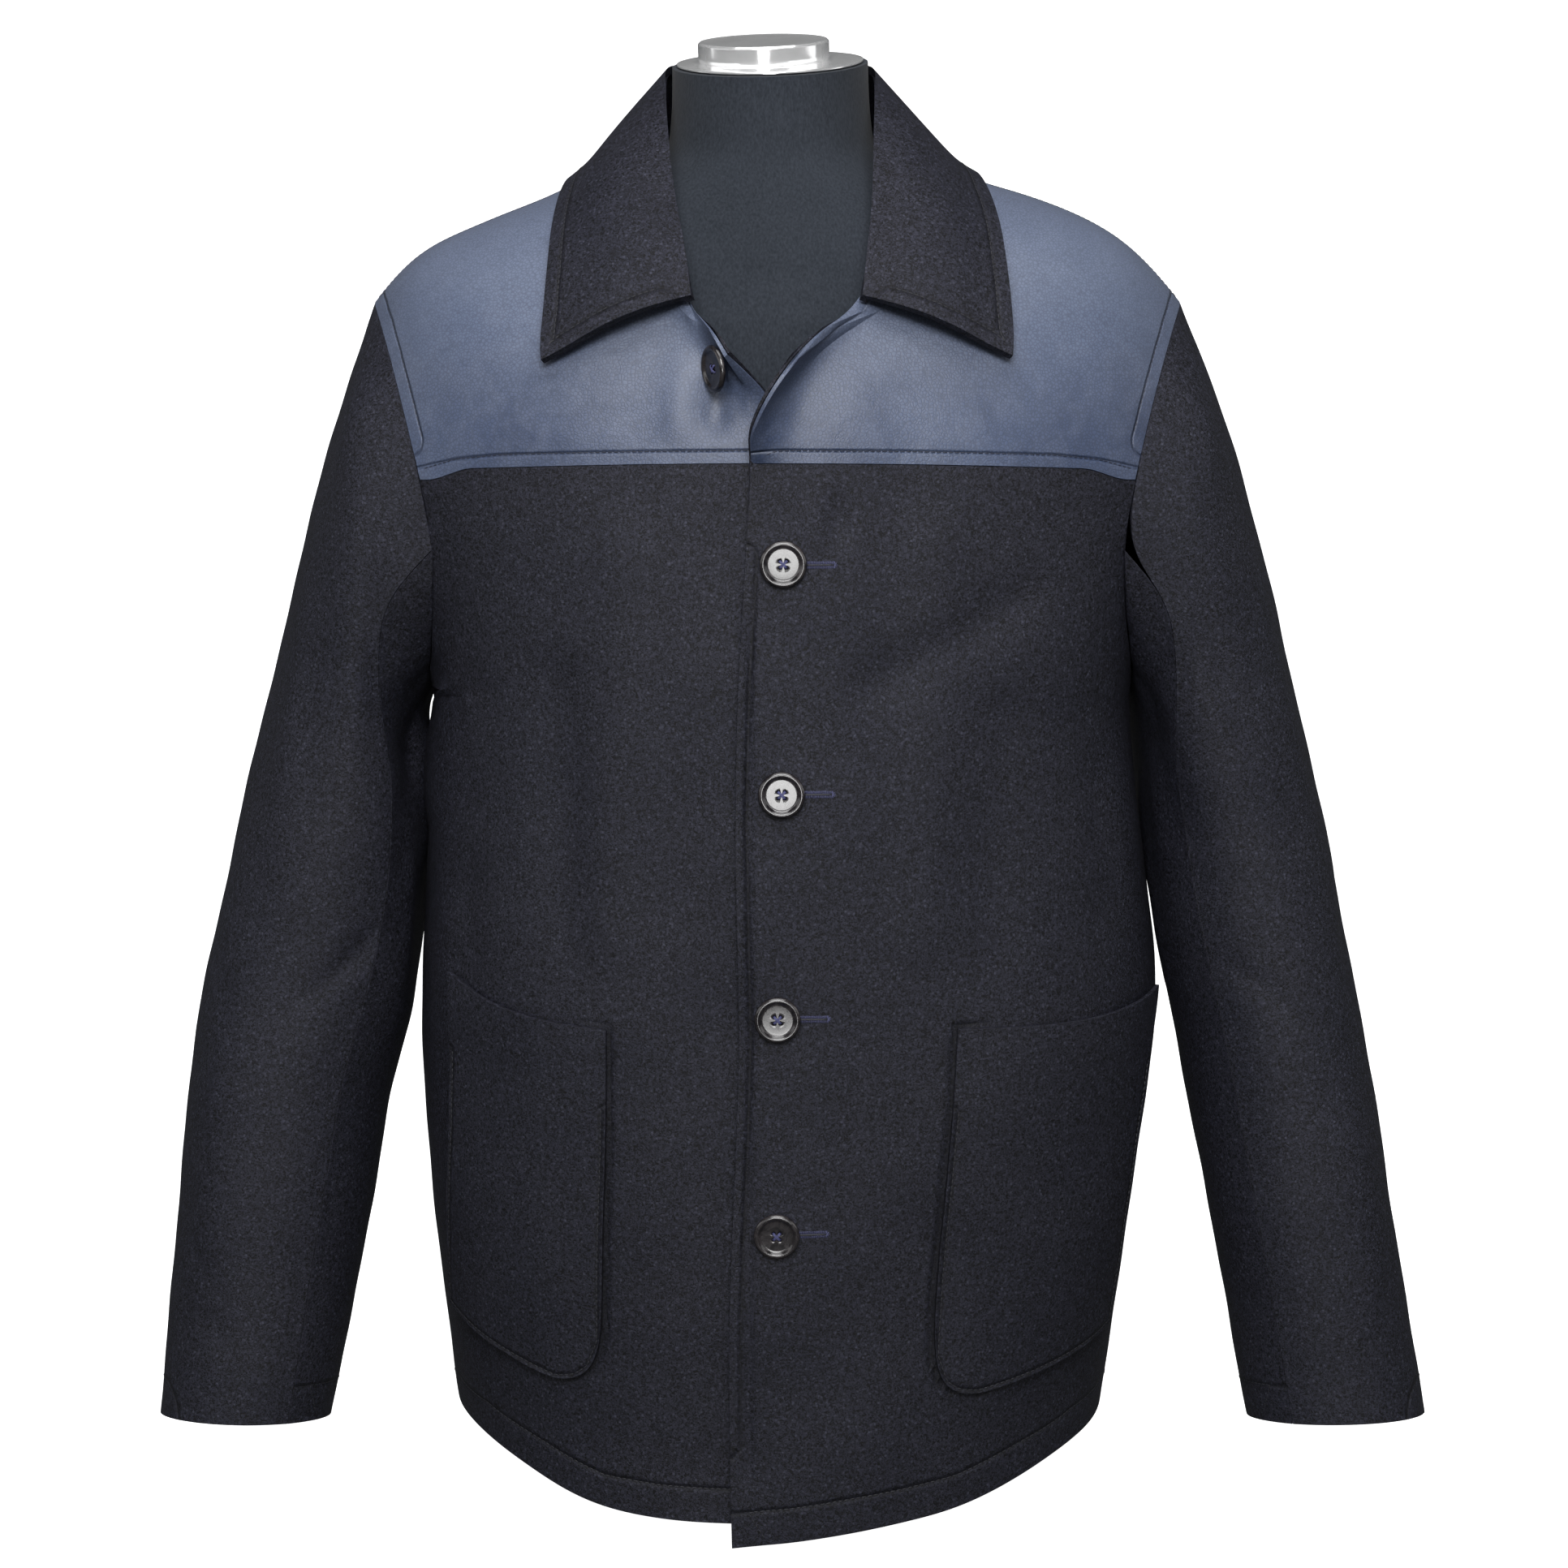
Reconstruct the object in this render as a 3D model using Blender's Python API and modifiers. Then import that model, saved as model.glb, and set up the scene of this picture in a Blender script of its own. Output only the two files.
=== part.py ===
"""Donkey jacket buttoned on a limbless dress form that stands on its flat base.

Metres, +Z up, the front faces -Y and the wearer's left is +X. The origin is the centre of the base.
Each cut piece of cloth is a wall of its own, and the seams between pieces are 0.3 mm wide.
"""
from math import asin, atan2, cos, pi, radians, sin, sqrt, tan

import bpy
import bmesh
from mathutils import Matrix, Vector

# Cloth and seams
WOOL = 0.0022
LEATHER = 0.0022
COLLAR_CLOTH = 0.0044
SEAM = 0.0003
SEAM_SPARE = 0.00001
LAY = 0.0009
# Two pieces at a seam cut their rim faces along the same diagonal, found along this direction
RIM_ORDER = Vector((0.31, 0.17, 1.0))

# Heights and widths of the jacket
YOKE_LINE = 0.600
ARMPIT = 0.475
ARMHOLE_FRONT = 0.091
ARMHOLE_YOKE_X = 0.197
ARMHOLE_TIP_X = 0.2325
NECK_SIDE_X = 0.0790
HEM_ROWS = 8
ARMHOLE_ROWS = 5
SLEEVE_EVEN = 0.25

# Body sections: height, half width, depth to the front, depth to the back, roundness
BODY_SECTIONS = (
    (0.000, 0.1860, 0.150, 0.136, 2.30),
    (0.050, 0.1955, 0.150, 0.138, 2.30),
    (0.100, 0.2020, 0.150, 0.140, 2.32),
    (0.150, 0.2085, 0.150, 0.142, 2.35),
    (0.200, 0.2145, 0.150, 0.143, 2.40),
    (0.260, 0.2190, 0.150, 0.143, 2.40),
    (0.310, 0.2200, 0.149, 0.142, 2.40),
    (0.380, 0.2120, 0.148, 0.140, 2.40),
    (0.440, 0.2065, 0.147, 0.138, 2.40),
    (0.475, 0.2045, 0.146, 0.138, 2.40),
    (0.540, 0.2160, 0.143, 0.138, 2.40),
    (0.600, 0.2380, 0.138, 0.136, 2.40),
)
# Middle of the jacket, which hangs a little out of line: height, shift to the wearer's left
BODY_SHIFT = ((0.000, 0.0025), (0.150, 0.0035), (0.300, 0.0078), (0.450, 0.0040), (0.600, 0.0015),
              (0.720, 0.0010), (0.780, -0.0020), (0.840, -0.0030))
# The wearer's left shoulder is this much higher, and the right one as much lower, most at 0.16 m out
SHOULDER_LEAN = 0.0036
LEAN_STARTS = (0.085, 0.150)
LEAN_ENDS = (0.175, 0.225)
LEAN_TOP = 0.740
# Ridge of the shoulders: distance from the middle, height
SHOULDER_RIDGE = (
    (0.000, 0.8000),
    (0.040, 0.7985),
    (0.072, 0.7880),
    (0.095, 0.7775),
    (0.118, 0.7666),
    (0.160, 0.7519),
    (0.200, 0.7335),
    (0.2205, 0.7150),
    (0.2335, 0.6985),
    (0.2500, 0.6700),
)
# Roundness of the arch over the shoulder: at the middle and at 0.2 m from it
FRONT_ARCH = (1.70, 2.10)
BACK_ARCH = (2.90, 2.20)

# Yoke rows, in degrees up the arch, and the front edge and neckline that each row starts from
YOKE_ROWS = (0.0, 8.0, 16.0, 22.0, 27.0, 32.0, 45.0, 60.0, 75.0, 90.0)
LEFT_NECK_EDGE = (-0.0140, -0.0100, -0.0020, 0.0130, 0.0310, 0.0480, 0.0600, 0.0680, 0.0750, NECK_SIDE_X)
RIGHT_NECK_EDGE = (-0.0135, -0.0080, 0.0050, 0.0270, 0.0390, 0.0490, 0.0600, 0.0680, 0.0750, NECK_SIDE_X)
# How far each yoke row rolls open, 0 flat and 1 fully rolled
LEFT_ROLL = (0.0, 0.40, 0.80, 0.90, 0.55, 0.16, 0.0, 0.0, 0.0, 0.0)
RIGHT_ROLL = (0.0, 0.0, 0.06, 0.75, 0.55, 0.12, 0.0, 0.0, 0.0, 0.0)
LEFT_ROLL_TURN = radians(95.0)
RIGHT_ROLL_TURN = radians(118.0)
ROLL_TURNS = (1.0, 0.75, 0.3)
ROLL_BACK = 0.022
# Front edge below the yoke, measured from the middle: height, distance
LEFT_EDGE = ((0.000, -0.0265), (0.106, -0.0287), (0.290, -0.0270), (0.424, -0.0262), (0.556, -0.0180),
             (0.600, -0.0140))
RIGHT_EDGE = ((0.000, -0.0300), (0.424, -0.0300), (0.500, -0.0290), (0.556, -0.0230), (0.600, -0.0135))
# Columns across a front, as shares of its width: the first three are the strip that rolls open
FRONT_COLUMNS = (0.0, 0.055, 0.105, 0.150, 0.270, 0.380, 0.500, 0.640, 0.780, 0.900, 1.0)
NECK_COLUMNS = 6
# How many degrees up the arch the back yoke goes at the middle of the neck
BACK_NECK_RISE = 66.0
# Hem heights: share of the way from the middle of the front or back to the side, height
LEFT_HEM = ((0.0, 0.0100), (0.11, 0.0154), (0.21, 0.0198), (0.31, 0.0224), (0.40, 0.0266), (0.50, 0.0346),
            (0.60, 0.0425), (0.78, 0.0492), (1.0, 0.0510))
RIGHT_HEM = ((0.0, 0.0225), (0.13, 0.0220), (0.26, 0.0226), (0.38, 0.0256), (0.45, 0.0308), (0.57, 0.0436),
             (0.76, 0.0520), (1.0, 0.0510))
BACK_HEM = ((0.0, 0.0340), (0.5, 0.0390), (1.0, 0.0510))
# The left front lies over the right one, lifted by the cloth that is under it
OVERLAP_LIFT = 0.0054
OVERLAP_NEAR = 0.036
OVERLAP_FAR = 0.066
# The lift fades out between these heights, where the front rolls open
OVERLAP_FADE = (0.655, 0.700)

# Sleeve sections on the wearer's left: outer point x and z, inner point x and z, middle y, half depth
LEFT_SLEEVE = (
    (0.2438, 0.6740, 0.2080, 0.4630, 0.001, 0.090),
    (0.2590, 0.6360, 0.2110, 0.4480, 0.003, 0.090),
    (0.2730, 0.5980, 0.2130, 0.4300, 0.005, 0.088),
    (0.2865, 0.5500, 0.2130, 0.4080, 0.005, 0.084),
    (0.2993, 0.5000, 0.2180, 0.3800, 0.004, 0.080),
    (0.3120, 0.4500, 0.2220, 0.3480, 0.002, 0.077),
    (0.3235, 0.4000, 0.2291, 0.3150, -0.002, 0.074),
    (0.3336, 0.3470, 0.2363, 0.2800, -0.008, 0.071),
    (0.3442, 0.2930, 0.2449, 0.2400, -0.015, 0.068),
    (0.3561, 0.2300, 0.2542, 0.1900, -0.024, 0.064),
    (0.3655, 0.1650, 0.2632, 0.1380, -0.034, 0.059),
    (0.3743, 0.1050, 0.2718, 0.0900, -0.043, 0.054),
    (0.3831, 0.0520, 0.2791, 0.0480, -0.051, 0.050),
)
# The wearer's right sleeve hangs closer: outer x and inner x of the same sections
RIGHT_SLEEVE_X = (
    (0.2405, 0.2080),
    (0.2524, 0.2104),
    (0.2647, 0.2107),
    (0.2787, 0.2035),
    (0.2917, 0.2020),
    (0.3039, 0.2020),
    (0.3160, 0.2069),
    (0.3293, 0.2157),
    (0.3405, 0.2286),
    (0.3476, 0.2366),
    (0.3547, 0.2461),
    (0.3581, 0.2548),
    (0.3629, 0.2629),
)
FORWARD_LEAN = 0.22
SLEEVE_CLEAR = 0.0040
UNDER_SLEEVE_COLUMNS = 4
# Height above the middle of the armhole round which its points are shared out
ARMHOLE_TURN_RISE = 0.05
# Direction in which the thickness is laid at the armpit, where four pieces meet
ARMPIT_MITRE = (0.15, 0.0, -1.0)

# Collar stations from the front end to the middle of the back, each with a point on the neck seam,
# one on the fold and one on the outer edge: x, y, z of each
COLLAR_STATIONS = (
    (0.0440, -0.1225, 0.6965, 0.0458, -0.1262, 0.6990, 0.1265, -0.1225, 0.6660),
    (0.0465, -0.1170, 0.7075, 0.0472, -0.1200, 0.7125, 0.1278, -0.1170, 0.6760),
    (0.0495, -0.1050, 0.7210, 0.0498, -0.1085, 0.7310, 0.1265, -0.1090, 0.6930),
    (0.0545, -0.0890, 0.7350, 0.0537, -0.0900, 0.7530, 0.1250, -0.0950, 0.7150),
    (0.0595, -0.0710, 0.7530, 0.0562, -0.0680, 0.7830, 0.1235, -0.0750, 0.7360),
    (0.0640, -0.0480, 0.7700, 0.0580, -0.0430, 0.8070, 0.1195, -0.0470, 0.7560),
    (0.0680, -0.0230, 0.7830, 0.0595, -0.0180, 0.8250, 0.1155, -0.0180, 0.7680),
    (0.0690, 0.0050, 0.7890, 0.0600, 0.0080, 0.8330, 0.1130, 0.0120, 0.7710),
    (0.0650, 0.0330, 0.7915, 0.0560, 0.0360, 0.8380, 0.1085, 0.0480, 0.7680),
    (0.0510, 0.0560, 0.7910, 0.0440, 0.0580, 0.8400, 0.0880, 0.0850, 0.7620),
    (0.0270, 0.0690, 0.7895, 0.0230, 0.0700, 0.8405, 0.0470, 0.1120, 0.7560),
    (0.0000, 0.0730, 0.7890, 0.0000, 0.0740, 0.8405, 0.0000, 0.1200, 0.7530),
)
# How far the fall of the collar swells out at each station, and how far up its swell ends
COLLAR_BULGES = (0.0077, 0.0077, 0.0077, 0.0070, 0.0050, 0.0025, 0.0010, 0.0010, 0.0015, 0.0020, 0.0030,
                 0.0030)
BULGE_RUN = 1.12
BULGE_RISE = 0.06
COLLAR_CLEAR = 0.0012
STAND_ROWS = 2
FALL_ROWS = 6

# Facings: how many columns of the front they back, and how many rows of the yoke
FACING_COLUMNS = 4
FACING_YOKE_ROWS = 6
FACING_CLOTH = 0.0018
FACING_GAP = 0.0005

# Patch pockets, the wearer's left one first: distances from the middle at the top and the bottom
# of the inner and the outer side, then the heights of the same four corners
POCKETS = (
    (1, 0.0918, 0.0830, 0.2105, 0.1900, 0.3035, 0.0920, 0.3100, 0.1120),
    (-1, 0.0992, 0.0990, 0.1905, 0.1905, 0.3025, 0.0985, 0.3240, 0.1245),
)
POCKET_CORNER = 0.026
POCKET_GAPE = 0.0024
POCKET_DIP = 0.004
POCKET_COLUMNS = 8
POCKET_ROW_SHARES = (0.0, 0.10, 0.35, 1.0)
POCKET_UPPER_ROWS = 4

# Buttons
BUTTON_RADIUS = 0.0128
BUTTON_THICKNESS = 0.0034
BUTTON_SIDES = 20
BUTTON_HOLE = 0.0011
BUTTON_HOLE_RING = 0.0024
BUTTON_HEIGHTS = (0.5564, 0.4339, 0.3110, 0.1909)
BUTTON_X = (0.0046, 0.0037, 0.0015, 0.0010)
TOP_BUTTON_PLACE = (-0.0314, -0.1399, 0.6601)
TOP_BUTTON_FACES = (-0.88, -0.45, -0.12)

# Dress form: height, half width, depth to the front, depth to the back, roundness
FORM_SECTIONS = (
    (0.000, 0.120, 0.086, 0.086, 2.2),
    (0.020, 0.138, 0.101, 0.098, 2.2),
    (0.055, 0.157, 0.115, 0.110, 2.2),
    (0.120, 0.163, 0.118, 0.116, 2.2),
    (0.200, 0.164, 0.118, 0.116, 2.2),
    (0.280, 0.156, 0.112, 0.106, 2.2),
    (0.360, 0.148, 0.110, 0.100, 2.2),
    (0.440, 0.154, 0.117, 0.104, 2.2),
    (0.520, 0.170, 0.127, 0.114, 2.2),
    (0.580, 0.184, 0.129, 0.122, 2.3),
    (0.630, 0.196, 0.124, 0.124, 2.4),
    (0.665, 0.205, 0.116, 0.123, 2.4),
    (0.690, 0.210, 0.108, 0.120, 2.4),
    (0.710, 0.213, 0.100, 0.114, 2.4),
    (0.730, 0.215, 0.091, 0.104, 2.3),
    (0.748, 0.170, 0.080, 0.090, 2.1),
    (0.763, 0.095, 0.0720, 0.0700, 2.0),
    (0.777, 0.0640, 0.0670, 0.0590, 2.0),
    (0.792, 0.0585, 0.0660, 0.0560, 2.0),
    (0.812, 0.0565, 0.0645, 0.0550, 2.0),
    (0.834, 0.0562, 0.0630, 0.0540, 2.0),
)
FORM_SIDES = 32
FORM_FREE_ABOVE = 0.778
NECK_BACK = 0.030
FORM_CLEAR = 0.0045
FORM_HALVINGS = 22
NECK_OPENING = ((0.655, 0.000), (0.690, 0.036), (0.730, 0.048), (0.762, 0.056), (0.790, 0.064))
NECK_TILT = radians(13.0)
NECK_ROLL = 0.030
# Metal cap on the neck: a thin brim in the neck's own outline, as shares of it and heights, then a drum
# as radii and heights
CAP_BRIM = ((0.930, 0.0000), (0.955, 0.0004), (0.955, 0.0014), (0.935, 0.0018))
CAP_DRUM = ((0.0372, 0.0022), (0.0376, 0.0034), (0.0376, 0.0122), (0.0364, 0.0134), (0.0330, 0.0130))
CAP_SIDES = 32
CAP_PLACE = (-0.0035, -0.0040)


def along(table, key, column=1):
    """Value of a table's column at key, on a smooth curve through its rows."""
    rows = list(table)
    if key <= rows[0][0]:
        return rows[0][column]
    if key >= rows[-1][0]:
        return rows[-1][column]
    index = 0
    while rows[index + 1][0] < key:
        index += 1
    low, high = rows[index], rows[index + 1]
    before = rows[max(index - 1, 0)]
    after = rows[min(index + 2, len(rows) - 1)]
    span = high[0] - low[0]
    share = (key - low[0]) / span
    slope_low = (high[column] - before[column]) / (high[0] - before[0]) * span
    slope_high = (after[column] - low[column]) / (after[0] - low[0]) * span
    square, cube = share * share, share * share * share
    return ((2 * cube - 3 * square + 1) * low[column] + (cube - 2 * square + share) * slope_low
            + (3 * square - 2 * cube) * high[column] + (cube - square) * slope_high)


def ease(low, high, value):
    """0 below low, 1 above high and a soft step between them."""
    share = min(max((value - low) / (high - low), 0.0), 1.0)
    return share * share * (3.0 - 2.0 * share)


def signed_power(value, power):
    return abs(value) ** power * (1.0 if value >= 0.0 else -1.0)


def section(z):
    """Half width, front depth, back depth and roundness of the body at a height."""
    return tuple(along(BODY_SECTIONS, z, column) for column in (1, 2, 3, 4))


def section_depth(x, z, front=True):
    """Depth of the body section at a distance x from its middle."""
    width, front_depth, back_depth, power = section(min(z, YOKE_LINE))
    depth = front_depth if front else back_depth
    share = min(abs(x) / width, 1.0)
    return depth * (1.0 - share ** power) ** (1.0 / power)


def ring_point(turn, z, front=True):
    """Point on the body section: turn is 0 at the middle of the front or back and 90 at the side."""
    width, front_depth, back_depth, power = section(z)
    x = width * signed_power(sin(turn), 2.0 / power)
    depth = (front_depth if front else back_depth) * abs(cos(turn)) ** (2.0 / power)
    return Vector((x, -depth if front else depth, z))


def ring_turn(x, z):
    """The turn at which the body section reaches x."""
    width, power = section(z)[0], section(z)[3]
    share = min(abs(x) / width, 1.0)
    return asin(share ** (power / 2.0)) * (1.0 if x >= 0.0 else -1.0)


def arch_power(x, front):
    middle, outer = FRONT_ARCH if front else BACK_ARCH
    return middle + (outer - middle) * min(abs(x) / 0.2, 1.1)


def arch_point(x, rise, front=True):
    """Point over the shoulder at a distance x from the middle, rise degrees up from the yoke line."""
    power = arch_power(x, front)
    depth = section_depth(x, YOKE_LINE, front) * cos(radians(rise)) ** (2.0 / power)
    if rise >= 90.0:
        depth = 0.0
    height = along(SHOULDER_RIDGE, abs(x)) - YOKE_LINE
    z = YOKE_LINE + height * sin(radians(rise)) ** (2.0 / power)
    return Vector((x, -depth if front else depth, z))


def jacket_level(x, y, z):
    """Below 0 inside the closed outline of the jacket's body, above 0 outside it."""
    front = y < 0.0
    if z <= YOKE_LINE:
        width, front_depth, back_depth, power = section(z)
        depth = front_depth if front else back_depth
        return (abs(x) / width) ** power + (abs(y) / depth) ** power - 1.0
    power = arch_power(x, front)
    depth = max(section_depth(x, YOKE_LINE, front), 1e-4)
    height = along(SHOULDER_RIDGE, abs(x)) - YOKE_LINE
    return (abs(y) / depth) ** power + ((z - YOKE_LINE) / height) ** power - 1.0


def outside_by(point):
    """Distance of a point outside the jacket's body, and the direction straight out."""
    step = 0.0005
    x, y, z = point
    level = jacket_level(x, y, z)
    slope = Vector(((jacket_level(x + step, y, z) - jacket_level(x - step, y, z)) / (2 * step),
                    (jacket_level(x, y + step, z) - jacket_level(x, y - step, z)) / (2 * step),
                    (jacket_level(x, y, z + step) - jacket_level(x, y, z - step)) / (2 * step)))
    return level / slope.length, slope.normalized()


def pushed_out(point, clear):
    """The point, moved straight out until it is clear of the jacket's body."""
    moved = Vector(point)
    for _ in range(4):
        distance, out = outside_by(moved)
        if distance >= clear:
            break
        moved += out * (clear - distance)
    return moved


def shoulder_lean(x, z):
    """How much higher the wearer's left shoulder is at a distance x from the middle."""
    across = ease(*LEAN_STARTS, x) * (1.0 - ease(*LEAN_ENDS, x))
    return SHOULDER_LEAN * across * ease(YOKE_LINE, LEAN_TOP, z)


def placed(point, side):
    """Turns a point of the left half into one of the given side, at the jacket's own middle."""
    z = point.z + side * shoulder_lean(point.x, point.z)
    return Vector((along(BODY_SHIFT, point.z) + side * point.x, point.y, z))


def armhole_x(rise):
    """Distance from the middle at which the yoke ends, rise degrees up from the yoke line."""
    return ARMHOLE_YOKE_X + (ARMHOLE_TIP_X - ARMHOLE_YOKE_X) * sin(radians(rise))


def armhole_low(step, front=True):
    """Armhole point below the yoke line: step 0 is the armpit and ARMHOLE_ROWS the yoke line."""
    turn = pi / 2 * step / ARMHOLE_ROWS
    z = YOKE_LINE - (YOKE_LINE - ARMPIT) * cos(turn)
    reach = section_depth(ARMHOLE_YOKE_X, YOKE_LINE, front)
    y = reach * sin(turn)
    width, front_depth, back_depth, power = section(z)
    depth = front_depth if front else back_depth
    x = width * (1.0 - (y / depth) ** power) ** (1.0 / power)
    return Vector((x, -y if front else y, z))


def overlap_lift(x, z):
    """Lift of the left front over what lies under it."""
    across = 1.0 - ease(OVERLAP_NEAR, OVERLAP_FAR, x)
    return OVERLAP_LIFT * across * (1.0 - ease(*OVERLAP_FADE, z))


def front_yoke_grid(side):
    """Outer face of a front yoke, rows from the yoke line to the shoulder seam."""
    edges = LEFT_NECK_EDGE if side > 0 else RIGHT_NECK_EDGE
    rolls = LEFT_ROLL if side > 0 else RIGHT_ROLL
    turn_limit = LEFT_ROLL_TURN if side > 0 else RIGHT_ROLL_TURN
    grid = []
    for rise, edge, roll in zip(YOKE_ROWS, edges, rolls):
        start = edge - roll * ROLL_BACK
        width = armhole_x(rise) - start
        row = [arch_point(start + width * share, rise) for share in FRONT_COLUMNS]
        for index, share in enumerate(FRONT_COLUMNS):
            if side > 0:
                row[index] = row[index] + Vector((0.0, -overlap_lift(row[index].x, row[index].z), 0.0))
        if roll > 0.0:
            for index in (2, 1, 0):
                length = (FRONT_COLUMNS[index + 1] - FRONT_COLUMNS[index]) * width
                turn = turn_limit * roll * ROLL_TURNS[index]
                step = Vector((-cos(turn) * length, -sin(turn) * length, 0.0))
                row[index] = row[index + 1] + step
        grid.append([placed(point, side) for point in row])
    return grid


def front_grid(side):
    """Outer face of a front below the yoke, rows from the hem to the yoke line."""
    edge_table = LEFT_EDGE if side > 0 else RIGHT_EDGE
    hem_table = LEFT_HEM if side > 0 else RIGHT_HEM
    top_start = along(edge_table, YOKE_LINE)
    top_width = ARMHOLE_YOKE_X - top_start
    turns = [ring_turn(top_start + top_width * share, YOKE_LINE) for share in FRONT_COLUMNS]
    shares = [(turn - turns[0]) / (turns[-1] - turns[0]) for turn in turns]

    def row_at(heights, outer_turn):
        row = []
        for share, z in zip(shares, heights):
            start_turn = ring_turn(along(edge_table, z), z)
            point = ring_point(start_turn + (outer_turn - start_turn) * share, z)
            if side > 0:
                point.y -= overlap_lift(point.x, z)
            row.append(point)
        return row

    grid = []
    for step in range(HEM_ROWS + 1):
        heights = [along(hem_table, share) for share in shares]
        heights = [z + (ARMPIT - z) * step / HEM_ROWS for z in heights]
        grid.append(row_at(heights, pi / 2))
    for step in range(1, ARMHOLE_ROWS + 1):
        z = armhole_low(step).z
        row = row_at([z] * len(shares), ring_turn(armhole_low(step).x, z))
        row[-1] = armhole_low(step)
        grid.append(row)
    for index, share in enumerate(FRONT_COLUMNS):
        top = arch_point(top_start + top_width * share, 0.0)
        if side > 0:
            top.y -= overlap_lift(top.x, top.z)
        grid[-1][index] = top
    return [[placed(point, side) for point in row] for row in grid]


def back_columns():
    """Signed column marks across the back: side, and share from the neck point to the armhole."""
    outer = [(-1, share) for share in reversed(FRONT_COLUMNS)]
    neck = [(0, -1.0 + 2.0 * step / NECK_COLUMNS) for step in range(1, NECK_COLUMNS)]
    return outer + neck + [(1, share) for share in FRONT_COLUMNS]


def back_x(mark, rise):
    side, share = mark
    if side == 0:
        return NECK_SIDE_X * share
    return side * (NECK_SIDE_X + (armhole_x(rise) - NECK_SIDE_X) * share)


def back_neck_rise(x):
    """How far up the arch the back yoke goes: to the shoulder seam, or to the neckline."""
    share = min(abs(x) / NECK_SIDE_X, 1.0)
    return BACK_NECK_RISE + (90.0 - BACK_NECK_RISE) * (1.0 - sqrt(1.0 - share * share))


def back_yoke_grid():
    grid = []
    for rise in YOKE_ROWS:
        row = []
        for mark in back_columns():
            reach = back_neck_rise(back_x(mark, 90.0)) if mark[0] == 0 else 90.0
            climb = rise * reach / 90.0
            x = back_x(mark, rise)
            point = arch_point(abs(x), climb, front=False)
            row.append(placed(point, 1 if x >= 0.0 else -1))
        grid.append(row)
    return grid


def back_grid():
    """Outer face of the back below the yoke, rows from the hem to the yoke line."""
    marks = back_columns()
    top_x = [back_x(mark, 0.0) for mark in marks]
    outer = ring_turn(ARMHOLE_YOKE_X, YOKE_LINE)
    shares = [ring_turn(x, YOKE_LINE) / outer for x in top_x]

    def row_at(heights, outer_turn):
        row = []
        for share, z in zip(shares, heights):
            point = ring_point(abs(share) * outer_turn, z, front=False)
            row.append(placed(point, 1 if share >= 0.0 else -1))
        return row

    grid = []
    for step in range(HEM_ROWS + 1):
        heights = [along(BACK_HEM, abs(share)) for share in shares]
        heights = [z + (ARMPIT - z) * step / HEM_ROWS for z in heights]
        grid.append(row_at(heights, pi / 2))
    for step in range(1, ARMHOLE_ROWS + 1):
        corner = armhole_low(step, front=False)
        row = row_at([corner.z] * len(shares), ring_turn(corner.x, corner.z))
        row[0], row[-1] = placed(corner, -1), placed(corner, 1)
        grid.append(row)
    for index, x in enumerate(top_x):
        grid[-1][index] = placed(arch_point(abs(x), 0.0, front=False), 1 if x >= 0.0 else -1)
    return grid


def armhole_loop(side):
    """Armhole points from the shoulder tip down the front to the armpit and up the back."""
    front_up = [placed(arch_point(armhole_x(rise), rise), side) for rise in reversed(YOKE_ROWS)]
    front_low = [placed(armhole_low(step), side) for step in range(ARMHOLE_ROWS - 1, -1, -1)]
    back_low = [placed(armhole_low(step, False), side) for step in range(1, ARMHOLE_ROWS)]
    back_up = [placed(arch_point(armhole_x(rise), rise, False), side) for rise in YOKE_ROWS[:-1]]
    return front_up + front_low + back_low + back_up


def sleeve_sections(side):
    """Section table of a sleeve: the right one hangs a little closer than the left one."""
    if side > 0:
        return LEFT_SLEEVE
    pairs = zip(LEFT_SLEEVE, RIGHT_SLEEVE_X)
    return [(outer_x, row[1], inner_x, *row[3:]) for row, (outer_x, inner_x) in pairs]


def loop_turns(loop):
    """Angle of each armhole point round the hole, 0 at the shoulder tip and 180 at the armpit."""
    middle_z = (YOKE_LINE + ARMPIT) / 2 + ARMHOLE_TURN_RISE
    turns = []
    for index, point in enumerate(loop):
        reach = abs(point.y) / ARMHOLE_FRONT
        rise = (point.z - middle_z) / (loop[0].z - middle_z)
        turn = atan2(reach, rise)
        turns.append(turn if index <= len(loop) // 2 else 2 * pi - turn)
    return turns


def sleeve_grid(side):
    """Outer face of a whole sleeve as a tube, rows from the armhole to the cuff."""
    loop = armhole_loop(side)
    count = len(loop)
    turns = loop_turns(loop)
    rows = [loop]
    sections = sleeve_sections(side)
    for index, (outer_x, outer_z, inner_x, inner_z, middle_y, depth) in enumerate(sections):
        outer = Vector((outer_x, middle_y, outer_z))
        inner = Vector((inner_x, middle_y, inner_z))
        middle = (outer + inner) / 2
        half = (outer - inner) / 2
        lean = FORWARD_LEAN * ease(2, len(sections) - 1, index)
        even_share = min(1.0, SLEEVE_EVEN * (index + 1))
        row = []
        for step in range(count):
            turn = turns[step] + (2 * pi * step / count - turns[step]) * even_share
            forward = Vector((0.0, -depth, depth * lean))
            point = middle + half * cos(turn) + forward * sin(turn)
            shift = side * along(BODY_SHIFT, point.z)
            point = pushed_out(point - Vector((shift, 0.0, 0.0)), SLEEVE_CLEAR)
            row.append(placed(point, side))
        rows.append(row)
    return rows


def split_tube(rows, first, last):
    """Columns first to last of a tube, wrapping past its end."""
    count = len(rows[0])
    return [[row[index % count] for index in range(first, last + 1)] for row in rows]


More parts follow.
